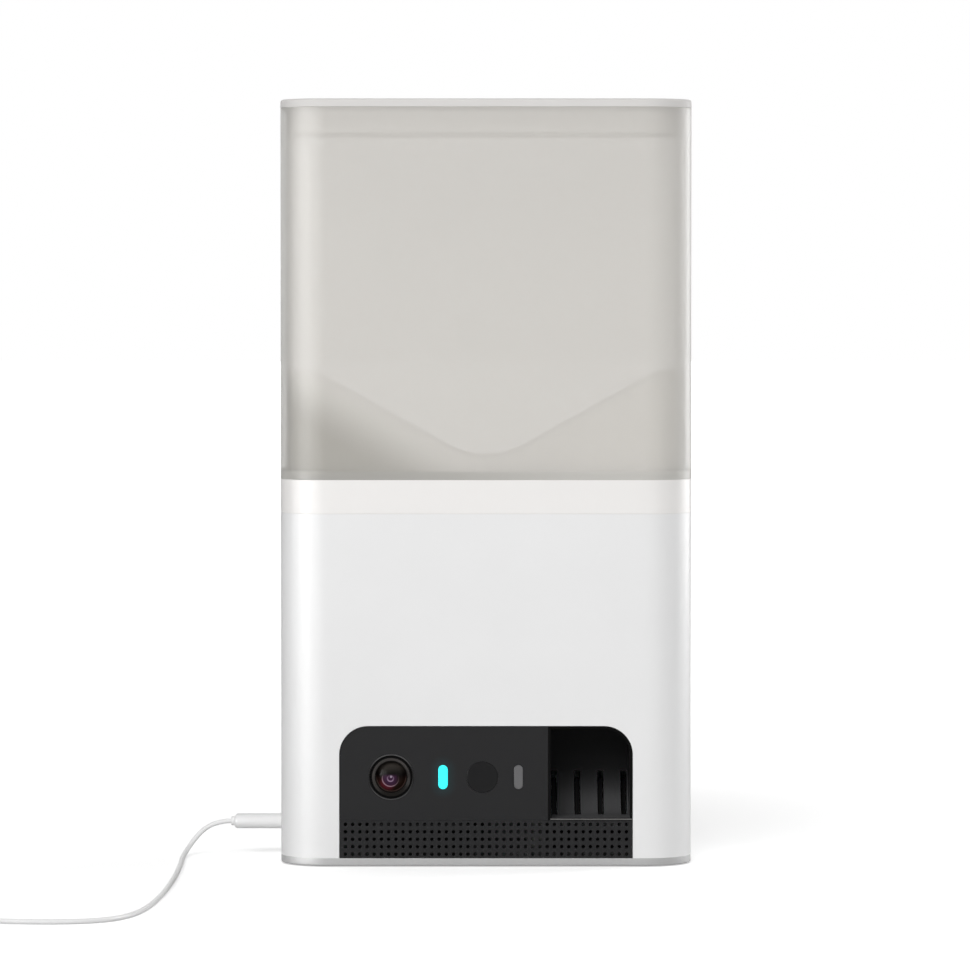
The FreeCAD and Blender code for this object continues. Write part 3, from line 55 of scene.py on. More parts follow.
# Cord. One length of thin round white cable, 2.0 m: out of the plug, down to the floor, forward and aside
# in a long bend, then wound into a neat coil and out to the other plug. Its vinyl is the first finish, and
# every other one is written in the same way, as arithmetic on shader sockets.
class Shade:
    """One socket of a material's nodes, on which + - * ** and abs() make Math nodes."""

    def __init__(self, tree, output=None):
        self.tree = tree
        self.output = output

    def node(self, kind, settings=None, sockets=None, out=0):
        """Makes a node: its settings, then its sockets' values or links. Returns one of its outputs."""
        made = self.tree.nodes.new(kind)
        for setting, value in (settings or {}).items():
            setattr(made, setting, value)
        for socket, value in (sockets or {}).items():
            if isinstance(value, Shade):
                self.tree.links.new(value.output, made.inputs[socket])
            else:
                made.inputs[socket].default_value = value
        return Shade(self.tree, made.outputs[out] if len(made.outputs) else None)

    def maths(self, operation, *values):
        return self.node("ShaderNodeMath", {"operation": operation}, dict(enumerate(values)))

    def at_least(self, other):
        return self.maths("MAXIMUM", self, other)

    def ease(self, start, end):
        """0 below the start, 1 above the end and a smooth step between them."""
        return self.node("ShaderNodeMapRange", {"interpolation_type": "SMOOTHSTEP"}, {
            "Value": self, "From Min": start, "From Max": end, "To Min": 0, "To Max": 1})

    def band(self, start, full, fade, end):
        """1 from full to fade and 0 outside start and end, with smooth steps between them."""
        return self.ease(start, full) * (1 - self.ease(fade, end))

    def mix(self, first, second):
        """The first colour where this is 0 and the second where it is 1."""
        return self.node("ShaderNodeMix", {"data_type": "RGBA"}, {0: self, 6: first, 7: second}, out=2)

    def __add__(self, other):
        return self.maths("ADD", self, other)

    def __sub__(self, other):
        return self.maths("SUBTRACT", self, other)

    def __rsub__(self, other):
        return self.maths("SUBTRACT", other, self)

    def __mul__(self, other):
        return self.maths("MULTIPLY", self, other)

    def __pow__(self, other):
        return self.maths("POWER", self, other)

    def __abs__(self):
        return self.maths("ABSOLUTE", self)

    __radd__ = __add__
    __rmul__ = __mul__


def tint(red, green, blue):
    """A screen colour of 0 to 255 as the shader's linear colour."""
    return tuple(((c / 255 + 0.055) / 1.055) ** 2.4 if c > 10 else c / 255 / 12.92
                 for c in (red, green, blue)) + (1,)


def moulded(name, colour, roughness, grain=0.35, relief=0.02, mottle=0.02, paint=None, **fixed):
    """A moulded finish: a fine spark-eroded grain, its size and relief in mm, and a slow mottle.
    paint(x, y, z, shade) may change its sockets from place to place, in mm."""
    finish = bpy.data.materials.new(name)
    finish.use_nodes = True
    finish.node_tree.nodes.clear()
    tree = Shade(finish.node_tree)
    place = tree.node("ShaderNodeTexCoord", out="Object")
    fine = tree.node("ShaderNodeTexNoise", {}, {
        "Vector": place, "Scale": 1000 / grain, "Detail": 3, "Roughness": 0.6})
    slow = tree.node("ShaderNodeTexNoise", {}, {"Vector": place, "Scale": 28, "Detail": 2})
    darker = tuple(c * (1 - mottle) for c in colour[:3]) + (1,)
    paler = tuple(min(1, c * (1 + mottle)) for c in colour[:3]) + (1,)
    shade = slow.mix(darker, paler)
    bumps = tree.node("ShaderNodeBump", {}, {"Strength": 0.6, "Distance": relief * mm, "Height": fine})
    sockets = {"Base Color": shade, "Roughness": roughness + 0.08 * (fine - 0.5) + 0.06 * (slow - 0.5),
               "Normal": bumps, **fixed}
    if paint:
        x, y, z = (tree.node("ShaderNodeSeparateXYZ", {}, {0: place}, out=axis) * 1000 for axis in range(3))
        sockets.update(paint(x, y, z, shade))
    surface = tree.node("ShaderNodeBsdfPrincipled", {}, sockets)
    tree.node("ShaderNodeOutputMaterial", {}, {"Surface": surface})
    return finish


cord_radius = 0.9
lying = 0.95
cord_run = [
    (-91.55, 8, 12), (-95.6, 8, 11.8), (-101, 7.9, 9.5), (-104.9, 6.4, 5.3), (-107.2, 2.6, 2),
    (-107.9, -5, lying), (-107.8, -18, lying), (-107.1, -42, lying), (-106.9, -82, lying),
    (-107.5, -120, lying), (-108.9, -152, lying), (-111, -176, lying), (-114.2, -193, lying),
    (-119.6, -205, lying), (-128.5, -211.2, lying), (-141, -213, 1), (-154, -212.6, 1.2),
    (-167, -212.5, 1.7), (-177, -212.6, 2.2)]
cord_end = [(-197.6, -194.5, 3.1), (-197.8, -187.5, 3.2), (-198.2, -180.05, 3.3)]

# The coil's turns in the order they are wound, each by its column and its layer. A turn keeps to its own
# place for its first part and then steps over to the next one's.
coil_centre = (-180, -195)
coil_columns = (11.6, 13.65, 15.7, 17.75)
coil_layers = (1.56, 3.34, 5.1, 6.88, 8.64)
coil_turns = [(3, 0), (2, 0), (1, 0), (0, 0), (0, 1), (0, 2), (0, 3), (1, 3), (1, 2), (1, 1),
              (2, 1), (2, 2), (2, 3), (2, 4), (3, 4), (3, 3), (3, 2), (3, 1)]
last_turn = len(coil_turns) - 1
points_per_turn = 14
coil_points = 255
first_bearing = -80
steps_over_at = 0.65
cord_route = list(cord_run)
for step in range(1, coil_points + 1):
    turn, share = divmod(step / points_per_turn, 1)
    here = coil_turns[min(int(turn), last_turn)]
    following = coil_turns[min(int(turn) + 1, last_turn)]
    shift = min(1, max(0, (share - steps_over_at) / (1 - steps_over_at)))
    shift = shift * shift * (3 - 2 * shift)
    across = coil_columns[here[0]] * (1 - shift) + coil_columns[following[0]] * shift
    height = coil_layers[here[1]] * (1 - shift) + coil_layers[following[1]] * shift
    bearing = math.radians(first_bearing - 360 * step / points_per_turn)
    cord_route.append((coil_centre[0] + across * math.cos(bearing),
                       coil_centre[1] + across * math.sin(bearing), height))
cord_route += cord_end
cord_line = bpy.data.curves.new("cord", "CURVE")
cord_line.dimensions = "3D"
spline = cord_line.splines.new("NURBS")
spline.points.add(len(cord_route) - 1)
for point, (x, y, z) in zip(spline.points, cord_route):
    point.co = (x * mm, y * mm, z * mm, 1)
spline.order_u = 3
spline.use_endpoint_u = True
spline.resolution_u = 5
cord_line.bevel_depth = cord_radius * mm
cord_line.bevel_resolution = 3
cord_line.use_fill_caps = True
cord = bpy.data.objects.new("cord", cord_line)
bpy.context.scene.collection.objects.link(cord)
cord_white = moulded("cord_white", tint(238, 238, 238), 0.42, grain=0.5, relief=0.01)
cord_line.materials.append(cord_white)
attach(cord, "casing")
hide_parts("power_cord", "cord_coil", "cord_tail")


# Plugs on the cord. The slim one at the tower is a soft pill-shaped grip with a short collar where the cord
# leaves it. The one at the outlet end is a rounded block with a folded steel shell and a white tongue.
def rounded_block(low, high, sides, round_along="Z", segments=8):
    """A box with its four edges along one axis rounded by a radius in mm."""
    middle = [(a + b) / 2 * mm for a, b in zip(low, high)]
    spans = [(b - a) * mm for a, b in zip(low, high)]
    shape = bmesh.new()
    bmesh.ops.create_cube(shape, size=1, matrix=Matrix.Translation(middle) @ Matrix.Diagonal((*spans, 1)))
    axis = "XYZ".index(round_along)
    along = [edge for edge in shape.edges
             if abs(edge.verts[0].co[axis] - edge.verts[1].co[axis]) > 0.5 * spans[axis]]
    if sides:
        bmesh.ops.bevel(shape, geom=along, offset=sides * mm, segments=segments, profile=0.5,
                        affect="EDGES", material=-1)
    return shape


def rod(axis, centre, radius, length, segments=48, shape=None):
    """A cylinder centred on a point: a new shape, or one more in a shape that is given."""
    turn = {"X": Matrix.Rotation(math.pi / 2, 4, "Y"), "Y": Matrix.Rotation(math.pi / 2, 4, "X"),
            "Z": Matrix.Identity(4)}[axis]
    shape = bmesh.new() if shape is None else shape
    bmesh.ops.create_cone(shape, cap_ends=True, segments=segments, radius1=radius * mm, radius2=radius * mm,
                          depth=length * mm, matrix=Matrix.Translation(Vector(centre) * mm) @ turn)
    return shape


def soften(shape, axis, level, width, segments):
    """Rounds the edges that lie in the plane at a level along an axis."""
    index = "XYZ".index(axis)
    edges = [edge for edge in shape.edges
             if all(abs(vert.co[index] / mm - level) < 0.01 for vert in edge.verts)]
    bmesh.ops.bevel(shape, geom=edges, offset=width * mm, segments=segments, profile=0.5,
                    affect="EDGES", material=-1)


def temporary(shape):
    """A scene object made of a shape, to be cut or joined."""
    mesh = bpy.data.meshes.new("shape")
    shape.to_mesh(mesh)
    shape.free()
    piece = bpy.data.objects.new("shape", mesh)
    bpy.context.scene.collection.objects.link(piece)
    return piece


def combine(shape, operation, *others):
    """The first shape with the others cut out of it (DIFFERENCE), joined to it (UNION) or kept where they
    meet it (INTERSECT)."""
    piece = temporary(shape)
    tools = [temporary(other) for other in others]
    for tool in tools:
        work = piece.modifiers.new("work", "BOOLEAN")
        work.operation = operation
        work.solver = "EXACT"
        work.object = tool
    depsgraph = bpy.context.evaluated_depsgraph_get()
    result = bmesh.new()
    result.from_object(piece, depsgraph)
    for each in [piece, *tools]:
        bpy.data.objects.remove(each)
    return result


def carve(shape, *others):
    return combine(shape, "DIFFERENCE", *others)


def settle(name, shape, finish, body, slot, *replaced, edge=0.0, crease=35):
    """Finishes a piece: fine rounded edges, smooth shading between creases, its body and node.
    The slot argument is not used.
    """
    mesh = bpy.data.meshes.new(name)
    shape.to_mesh(mesh)
    shape.free()
    mesh.materials.append(finish)
    mesh.shade_smooth()
    mesh.set_sharp_from_angle(angle=math.radians(crease))
    piece = bpy.data.objects.new(name, mesh)
    bpy.context.scene.collection.objects.link(piece)
    if edge:
        rounding = piece.modifiers.new("edges", "BEVEL")
        rounding.width = edge * mm
        rounding.segments = 2
        rounding.limit_method = "ANGLE"
        rounding.angle_limit = math.radians(40)
        rounding.miter_outer = "MITER_ARC"
        rounding.harden_normals = True
    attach(piece, body)
    if replaced:
        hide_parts(*replaced)


plug_back, plug_front, plug_y, plug_z = -90.25, -72.55, 8, 12
grip_half_width, grip_half_height = 5.2, 2.475
grip = rounded_block((plug_back, plug_y - grip_half_width, plug_z - grip_half_height),
                     (plug_front, plug_y + grip_half_width, plug_z + grip_half_height), 2.45, "X", 12)
soften(grip, "X", plug_back, 1.2, 4)
soften(grip, "X", plug_front, 0.25, 2)
settle("power_plug_grip", grip, cord_white, "casing", "cord_white", "power_plug")
settle("cord_collar", rod("X", (-90.9, plug_y, plug_z), 1.7, 1.3, 32), cord_white, "casing",
       "cord_white", "strain_relief", edge=0.3)
usb_x, usb_z = -198.2, 3.3
usb_back, usb_front, usb_tip = -180, -160, -148
block = rounded_block((usb_x - 6.2, usb_back, 0), (usb_x + 6.2, usb_front, 2 * usb_z), 1.6, "Y", 6)
soften(block, "Y", usb_back, 0.8, 3)
soften(block, "Y", usb_front, 0.3, 2)
settle("outlet_plug_grip", block, cord_white, "casing", "cord_white", "usb_grip")
sheet = 0.4
usb_half_width, usb_half_height = 6, 2.25
bore_half_width, bore_half_height = usb_half_width - sheet, usb_half_height - sheet
plug_shell = carve(
    rounded_block((usb_x - usb_half_width, usb_front - 0.2, usb_z - usb_half_height),
                  (usb_x + usb_half_width, usb_tip, usb_z + usb_half_height), 0.3, "Y", 2),
    rounded_block((usb_x - bore_half_width, usb_front + sheet, usb_z - bore_half_height),
                  (usb_x + bore_half_width, usb_tip + 1, usb_z + bore_half_height), 0, "Y"),
    *[rounded_block((x - 1.2, -154.6, 4.8), (x + 1.2, -152.2, 6.0), 0) for x in (usb_x - 2.9, usb_x + 2.9)])
polished = moulded("plug_steel", tint(205, 206, 208), 0.28, grain=0.4, relief=0.004, Metallic=1.0)
settle("outlet_plug_shell", plug_shell, polished, "casing", "steel", "usb_shell", edge=0.08)
tongue = rounded_block((usb_x - 5.5, -159.8, 1.5), (usb_x + 5.5, -148.6, usb_z), 0, "Y")
settle("outlet_plug_tongue", tongue, cord_white, "casing", "cord_white", edge=0.1)

# Base plate. A grey moulded plate that closes the casing's underside, with rails that centre it in the
# shell, four posts under the main board and seats for the feet and screws. Its lower edge is rounded.
half_width, half_depth, corner_radius = 72.5, 37, 17
wall, fit = 2.5, 0.15
plate_low, plate_top = 0.4, 3.1
rail, rail_low, rail_top = 1.6, 2.5, 6.1
foot_radius, foot_height = 5, 1.4
corners = [(across, along) for across in (1, -1) for along in (1, -1)]
foot_places = [(52 * across, 20 * along) for across, along in corners]
screw_places = [(63.3 * across, 27.8 * along) for across, along in corners]
post_places = [(x, y) for x in (-51, -4) for y in (-2, 26.5)]


def tower(inset, low, high):
    """A slice of the casing's own footprint, inset from its outer face."""
    return rounded_block((inset - half_width, inset - half_depth, low),
                         (half_width - inset, half_depth - inset, high), corner_radius - inset, "Z", 18)


base_grey = moulded("base_grey", tint(182, 182, 182), 0.46, grain=0.3, relief=0.012,
                    **{"Specular IOR Level": 0.7, "Metallic": 0.2})
plate = tower(0, plate_low, plate_top)
soften(plate, "Z", plate_low, 0.5, 6)
back_rail, side_rail = half_depth - wall - fit, half_width - wall - fit
rails = [rounded_block((-48, back_rail - rail, rail_low), (48, back_rail, rail_top), 0),
         rounded_block((side_rail - rail, -17, rail_low), (side_rail, 17, rail_top), 0),
         rounded_block((-side_rail, -17, rail_low), (rail - side_rail, 17, rail_top), 0)]
posts = [rod("Z", (x, y, 5.7), 2.5, 6.4, 24) for x, y in post_places]
plate = combine(plate, "UNION", *rails, *posts)
seats = [rod("Z", (x, y, 0.9), foot_radius + fit, 1) for x, y in foot_places]
seats += [rod("Z", (x, y, 1.15), 2.95, 1.5, 32) for x, y in screw_places]
screw_holes = [rod("Z", (x, y, 2), 1.45, 4, 24) for x, y in screw_places]
settle("base", carve(plate, *seats, *screw_holes), base_grey, "casing", "grey_base", "base_plate")

# Rubber feet. Four soft grey discs in their seats, with a small rounded edge.
rubber = moulded("rubber", tint(92, 92, 92), 0.8, grain=0.5, relief=0.03)
feet = bmesh.new()
for x, y in foot_places:
    rod("Z", (x, y, foot_height / 2), foot_radius, foot_height, shape=feet)
settle("feet", feet, rubber, "casing", "foot_rubber", "rubber_feet", edge=0.2)

# Lower shell. One white moulded tube, open above and below, with a ledge inside for the metering floor,
# four screw bosses, the front panel's cut-out, the power plug's port and the reset button's hole.
shell_top, ledge_low, ledge_top, ledge_reach = 124.1, 100.5, 102.5, 5
front = -half_depth
panel_side, panel_top, panel_corner = 51.4, 49.5, 10
corner_x, corner_z = panel_side - panel_corner, panel_top - panel_corner
button_x, button_z, button_radius = -30, 12.6, 2.6


def arc(centre, radius, start, end, steps=12):
    """Points of an arc, its angles in degrees."""
    angles = [math.radians(start + (end - start) * step / steps) for step in range(steps + 1)]
    return [(centre[0] + radius * math.cos(angle), centre[1] + radius * math.sin(angle))
            for angle in angles]


def prism(outline, axis, start, end):
    """An outline of points pushed along an axis: (y, z) along X, (x, z) along Y, (x, y) along Z."""
    shape = bmesh.new()
    index = "XYZ".index(axis)
    verts = [shape.verts.new(Vector((*point[:index], start, *point[index:])) * mm) for point in outline]
    face = shape.faces.new(verts)
    pushed = bmesh.ops.extrude_face_region(shape, geom=[face])
    way = Vector([(end - start) * mm if name == axis else 0 for name in "XYZ"])
    bmesh.ops.translate(shape, vec=way, verts=[item for item in pushed["geom"]
                                               if isinstance(item, bmesh.types.BMVert)])
    bmesh.ops.recalc_face_normals(shape, faces=shape.faces)
    return shape


white = moulded("casing_white", tint(241, 241, 241), 0.3, grain=0.35, relief=0.012,
                **{"Specular IOR Level": 0.36})
opening_side, opening_corner = panel_side + fit, panel_corner + fit
opening = prism([(-opening_side, 2), (opening_side, 2), *arc((corner_x, corner_z), opening_corner, 0, 90),
                 *arc((-corner_x, corner_z), opening_corner, 90, 180)], "Y", front - 1, front + wall + 1)
port = rounded_block((-73.5, plug_y - 4.3, plug_z - 1.8), (-69, plug_y + 4.3, plug_z + 1.8), 1.2, "X", 6)
shell = carve(tower(0, plate_top, shell_top), tower(wall, 2, ledge_low),
              tower(ledge_reach, 100, 103), tower(wall, ledge_top, 125), opening, port,
              rod("Y", (button_x, 36, button_z), button_radius + fit, 5))
bosses = [carve(rod("Z", (x, y, 12.6), 4, 19, 32), rod("Z", (x, y, 9.5), 1.35, 14, 24))
          for x, y in screw_places]
shell = combine(shell, "UNION", *bosses)
settle("casing_shell", shell, white, "casing", "white_casing", "lower_shell", edge=0.2)

# Docking collar. A warmer white ring that closes the shell's top. Its spigot drops into the shell, and the
# container docks into it from above.
collar_top, collar_floor = 136, 125
collar_white = moulded("collar_white", tint(245, 243, 241), 0.3, grain=0.35, relief=0.012,
                       **{"Specular IOR Level": 0.3})
ring = combine(tower(0, shell_top, collar_top), "UNION", tower(wall + fit, 121.1, 124.6))
ring = carve(ring, tower(4.2, 120, collar_floor + 0.5), tower(wall, collar_floor, 137))
settle("collar", ring, collar_white, "casing", "warm_collar", "docking_collar", edge=0.15)

# Treat container. A tall smoke-tinted translucent tube, 2.2 mm thick, that stands in the collar on a spigot
# with a groove for its seal.
container_top, foot_top, smoke_wall = 266.6, 138, 2.2


def smoke_paint(x, y, z, shade):
    """Painted shade and deeper smoke in the rounded corners, painted shade in the front wall's lower left
    where the hopper stands behind it, and more body in the solid foot, with painted shade towards its left."""
    # painted shade: the rounded corners are painted darker, and their smoke is deeper
    corner = abs(x).ease(67, 71.5) * abs(y).ease(19, 24)
    slopes = (abs(x) * 0.554 + 139.3).at_least(143.3)
    below = 1 - (z - slopes).ease(-20, 0)
    # painted shade: the front wall is painted darker at its lower left, below the hopper's slopes
    painted_shade_front_left = (1 - x.ease(-55, 38)) * (1 - y.ease(-34, -22))
    foot = 1 - z.ease(foot_top + 0.2, foot_top + 1.6)
    # painted shade: the solid foot's colour runs from darker on the left to paler on the right
    foot_colour_painted_shade = x.ease(-50, 50).mix(tint(177, 175, 170), tint(206, 204, 199))
    colour = foot.mix((below * painted_shade_front_left).mix(shade, tint(197, 194, 187)), foot_colour_painted_shade)
    return {"Base Color": corner.mix(colour, tint(196, 194, 189)),
            "Alpha": 0.5 + corner * 0.22 * (1 - foot) + foot * 0.42}


smoke = moulded("container_smoke", tint(233, 230, 225), 0.3, grain=0.4, relief=0.006, mottle=0.01,
                paint=smoke_paint, **{"Specular IOR Level": 0.23})
tube = combine(tower(0, collar_top, container_top), "UNION", tower(2.8, 131, 136.5))
groove = carve(tower(2, 132.5, 134), tower(3.55, 132, 134.5))
tube = carve(tube, tower(smoke_wall, foot_top, 268), tower(5.2, 130, 139), groove)
settle("container", tube, smoke, "container", "smoke_container", "treat_container", edge=0.15)

# Hopper floor. A trough inside the container that runs from front to back: two slopes that meet in a round
# bottom, a skirt all round that stands on the container's foot, and a spout over the treat wheel.
slope = 29
trough_radius, trough_wall, trough_low = 28, 2, 143.3
trough_middle = trough_low + trough_radius
slope_end, past_walls = 62.15, 72
spout_bore, spout_wall = 12.3, 1.6


def slope_height(radius):
    """The height of a slope's outer end, where the slope runs on from a round bottom of this radius."""
    turn = math.radians(slope)
    return (trough_middle - radius * math.cos(turn)
            + (slope_end - radius * math.sin(turn)) * math.tan(turn))


def trough_painted_light(x, y, z, shade):
    """Painted light: a little paler towards the right."""
    return {"Base Color": x.ease(5, 45).mix(shade, tint(248, 246, 241))}


trough_grey = moulded("trough_grey", tint(236, 234, 229), 0.5, grain=0.4, relief=0.01, paint=trough_painted_light)
edge_height, under_height = slope_height(trough_radius), slope_height(trough_radius + trough_wall)
upper_bend = arc((0, trough_middle), trough_radius, slope - 90, -slope - 90, 20)
lower_bend = arc((0, trough_middle), trough_radius + trough_wall, -slope - 90, slope - 90, 20)
trough = prism([(-past_walls, under_height), (-slope_end, under_height), *lower_bend,
                (slope_end, under_height), (past_walls, under_height),
                (past_walls, edge_height), (slope_end, edge_height), *upper_bend,
                (-slope_end, edge_height), (-past_walls, edge_height)], "Y", -36, 36)
trough_skirt = carve(tower(0.5, foot_top, edge_height), tower(smoke_wall + fit + trough_wall, 137, 180))
trough = combine(trough, "UNION", trough_skirt, rod("Z", (0, 0, 141), spout_bore + spout_wall, 26.4, 64))
room_above = prism([(-slope_end, edge_height + 9), (-slope_end, edge_height), *upper_bend[::-1],
                    (slope_end, edge_height), (slope_end, edge_height + 9)], "Y", -38, 38)
trough = carve(trough, room_above, rod("Z", (0, 0, 137), spout_bore, 40, 64))
trough = combine(trough, "INTERSECT", tower(smoke_wall + fit, 120, 180))
settle("trough", trough, trough_grey, "container", "hopper_grey", "hopper_floor", edge=0.15)

# Lid. A light grey cover with a softly rounded top edge, and a skirt that plugs the container and carries
# a gasket in its groove.
lid_top, skirt_low = 269.5, 257.7


def lid_painted_light(x, y, z, shade):
    """Painted light: the skirt's thin lower edge is painted paler, as if more light passed through it."""
    return {"Base Color": (1 - z.ease(skirt_low, skirt_low + 4.3)).mix(shade, tint(235, 234, 231))}


lid_grey = moulded("lid_grey", tint(220, 218, 216), 0.45, grain=0.35, relief=0.012, paint=lid_painted_light,
                   **{"Specular IOR Level": 0.03})
cover = tower(0, container_top, lid_top)
soften(cover, "Z", lid_top, 0.9, 4)
gasket_groove = carve(tower(2, 261.6, 263.1), tower(3.25, 261, 264))
skirt = carve(tower(wall, skirt_low, 267.5), tower(4.3, 257, container_top), gasket_groove)
settle("lid", combine(cover, "UNION", skirt), lid_grey, "lid", "lid_grey", "lid_cover", edge=0.12)

# Front panel. A satin black moulding set in the shell's cut-out, with round holes for the camera and the
# infrared window, two upright slots for the light pipes, and a flange behind the shell's wall.
camera_x, status_x, infrared_x, sensor_x, instrument_z = -33.3, -15.1, -1.26, 11.4, 31.65
panel_low, panel_right = 16.4, 21.8
lip = 2.5


def painted_glow(x, y, z, shade):
    """A faint painted cyan glow in the panel round the lit pipe."""
    up = (abs(z - instrument_z) - 2.6).at_least(0)
    reach = ((x - status_x) * (x - status_x) + up * up) ** 0.5
    return {"Emission Color": (1 - reach.ease(0, 5.5)).mix((0, 0, 0, 1), (0.001, 0.017, 0.019, 1))}


panel_black = moulded("panel_black", tint(33, 33, 34), 0.45, grain=0.3, relief=0.01, paint=painted_glow,
                      **{"Specular IOR Level": 0.16, "Emission Strength": 1.0})
panel = prism([(-panel_side, panel_low), (panel_right, panel_low), (panel_right, panel_top),
               *arc((-corner_x, corner_z), panel_corner, 90, 180)], "Y", front, front + wall)
flange = prism([(-panel_side - lip, panel_low), (lip - panel_side, panel_low), (lip - panel_side, corner_z),
                (-corner_x, panel_top - lip), (21.15, panel_top - lip), (21.15, panel_top + lip),
                *arc((-corner_x, corner_z), panel_corner + lip, 90, 180)],
               "Y", front + wall - 0.01, front + 3.7)
pegs = [rod("Y", (infrared_x + side * 6.6, -32.5, instrument_z + side * 4.5), 1.6, 4.2, 24)
        for side in (-1, 1)]
slots = [rounded_block((x - width / 2, -38, instrument_z - 4.25), (x + width / 2, -33, instrument_z + 4.25),
                       width / 2 - 0.01, "Y", 10) for x, width in ((status_x, 3.36), (sensor_x, 3.15))]
panel = carve(combine(panel, "UNION", flange, *pegs),
              rod("Y", (camera_x, -36, instrument_z), 8.05, 6, 72),
              rod("Y", (infrared_x, -36, instrument_z), 5.55, 6, 64), *slots)
settle("panel", panel, panel_black, "casing", "black_panel", "front_panel", edge=0.15)

# Speaker grille. A black strip under the panel with five rows of forty small round holes, and a rib behind
# its lower edge.
rows, columns = 5, 40
hole_radius, pitch_x, pitch_z = 0.62, 2.53, 2.62
first_x, first_z = -49.335, 4.56
strip = rounded_block((-panel_side, front, plate_top), (panel_side, front + 1.2, 16.35), 0)
rib = rounded_block((-panel_side, front + 1, plate_top), (panel_side, front + wall, 3.75), 0)
holes = bmesh.new()
for row in range(rows):
    for column in range(columns):
        rod("Y", (first_x + column * pitch_x, -36.8, first_z + row * pitch_z), hole_radius, 3, 14, holes)
settle("grille", carve(combine(strip, "UNION", rib), holes), panel_black, "casing", "black_panel",
       "speaker_grille", edge=0.06)


# Camera. A glossy black bezel ring, a barrel that narrows to the lens, and a domed front lens with an
# anti-reflection coating over the dark inside, whose purple reflections and glint are painted on.
def turned(profile, segments=72):
    """A profile of (radius, y) points turned about the lens's axis."""
    shape = bmesh.new()
    verts = [shape.verts.new(((camera_x + radius) * mm, y * mm, instrument_z * mm))
             for radius, y in profile]
    edges = [shape.edges.new(pair) for pair in zip(verts, verts[1:])]
    bmesh.ops.spin(shape, geom=[*verts, *edges], angle=2 * math.pi, steps=segments, use_merge=True,
                   axis=(0, 1, 0), cent=(camera_x * mm, 0, instrument_z * mm))
    bmesh.ops.remove_doubles(shape, verts=shape.verts, dist=0.001 * mm)
    bmesh.ops.recalc_face_normals(shape, faces=shape.faces)
    return shape


def from_centre(x, z, across=0.0, up=0.0):
    """Distance in mm from the lens's axis, or from a line beside it."""
    reach = [place - middle for place, middle in ((x, camera_x + across), (z, instrument_z + up))]
    return (reach[0] * reach[0] + reach[1] * reach[1]) ** 0.5


def bezel_paint(x, y, z, shade):
    """A brown-grey cone with painted shade below, a black groove, and a rim with painted highlights
    above and below.
    """
    out = from_centre(x, z)
    height = z - instrument_z
    # painted shade on the cone, darker below, and a painted highlight on the rim, palest above and below
    cone = (height - 0.45 * (x - camera_x)).ease(-6.5, 5.5).mix(tint(28, 26, 24), tint(84, 81, 79))
    rim = abs(height).ease(2, 7).mix(tint(52, 52, 52), tint(94, 94, 94))
    return {"Base Color": out.ease(6.6, 6.8).mix(cone, out.ease(7.62, 7.75).mix(tint(5, 5, 5), rim))}


def lens_paint(x, y, z, shade):
    """Painted reflections in the glass: brown above, red below on the left, purple rings, and a painted
    glint.
    """
    out = from_centre(x, z)
    inner = from_centre(x, z, -0.25, -0.55)
    height = z - instrument_z
    low = 1 - height.ease(-1.9, 1.1)
    left = 1 - (x - camera_x).ease(-0.5, 3.6)
    red = 1 - from_centre(x, z, -1.7, -2.9).ease(0.8, 3.6)
    disc = (1 - inner.ease(2.2, 3.0)) * (1 - height.ease(-0.3, 1.2)) * (1 - (x - camera_x).ease(0.8, 3.2))
    colour = height.ease(0.4, 4.8).mix(tint(9, 6, 6), tint(54, 50, 46))
    colour = low.mix(colour, tint(32, 20, 15))
    colour = (low * red * (1 - out.ease(4.6, 5.3))).mix(colour, tint(86, 31, 40))
    colour = (low * out.band(4.95, 5.1, 5.25, 5.38)).mix(colour, tint(92, 74, 68))
    colour = disc.mix(colour, tint(58, 33, 56))
    colour = (inner.band(2.6, 2.85, 2.95, 3.2) * low * left).mix(colour, tint(158, 128, 142))
    colour = (inner.band(0.75, 0.95, 1.15, 1.4) * low * left).mix(colour, tint(150, 124, 148))
    # painted glint: a pale spot at the lens's centre
    colour = (1 - from_centre(x, z, -0.05, 0.0).ease(0.25, 0.55)).mix(colour, tint(150, 134, 152))
    return {"Base Color": out.ease(5.36, 5.4).mix(colour, tint(12, 11, 11))}


gloss_black = moulded("gloss_black", tint(22, 22, 22), 0.35, grain=0.3, relief=0.003, paint=bezel_paint,
                      **{"Specular IOR Level": 0.05})
barrel_brown = moulded("barrel_brown", tint(22, 20, 19), 0.35, grain=0.3, relief=0.004,
                       **{"Specular IOR Level": 0.05})
lens_painted_reflections = moulded("lens_painted_reflections", tint(30, 14, 24), 0.24, grain=0.5, relief=0.0, paint=lens_paint,
                      **{"Specular IOR Level": 0.06})
bezel = turned([(5.75, -34.9), (5.75, -35.95), (6.85, -36.92), (6.95, -36.92), (6.98, -36.5), (7.52, -36.5),
                (7.55, -36.9), (7.7, -37), (7.85, -37), (8, -36.85), (8, -34.9), (5.75, -34.9)])
settle("camera_bezel", bezel, gloss_black, "casing", "black_gloss", "lens_bezel", crease=30)
barrel = turned([(5.45, -32.8), (5.45, -35.7), (5.6, -35.95), (5.7, -35.95), (5.7, -34.5), (8.4, -34.5),
                 (8.4, -23.5), (4.4, -23.5), (4.4, -32.8), (5.45, -32.8)])
settle("camera_barrel", barrel, barrel_brown, "casing", "black_gloss", "lens_barrel", crease=40)
lens_radius, dome_height = 5.4, 1.7
lens_back, lens_rim, lens_tip = -32.8, -33.8, -35.5
dome_radius = (lens_radius ** 2 + dome_height ** 2) / (2 * dome_height)
dome_angles = [math.radians(angle) for angle in range(0, 36, 2)]
dome = [(dome_radius * math.sin(angle), lens_tip + dome_radius * (1 - math.cos(angle)))
        for angle in dome_angles if dome_radius * math.sin(angle) < lens_radius]
lens = turned([(0, lens_back), (lens_radius, lens_back), (lens_radius, lens_rim), *dome[::-1]])
settle("lens", lens, lens_painted_reflections, "casing", "lens_glass", "front_lens", crease=50)

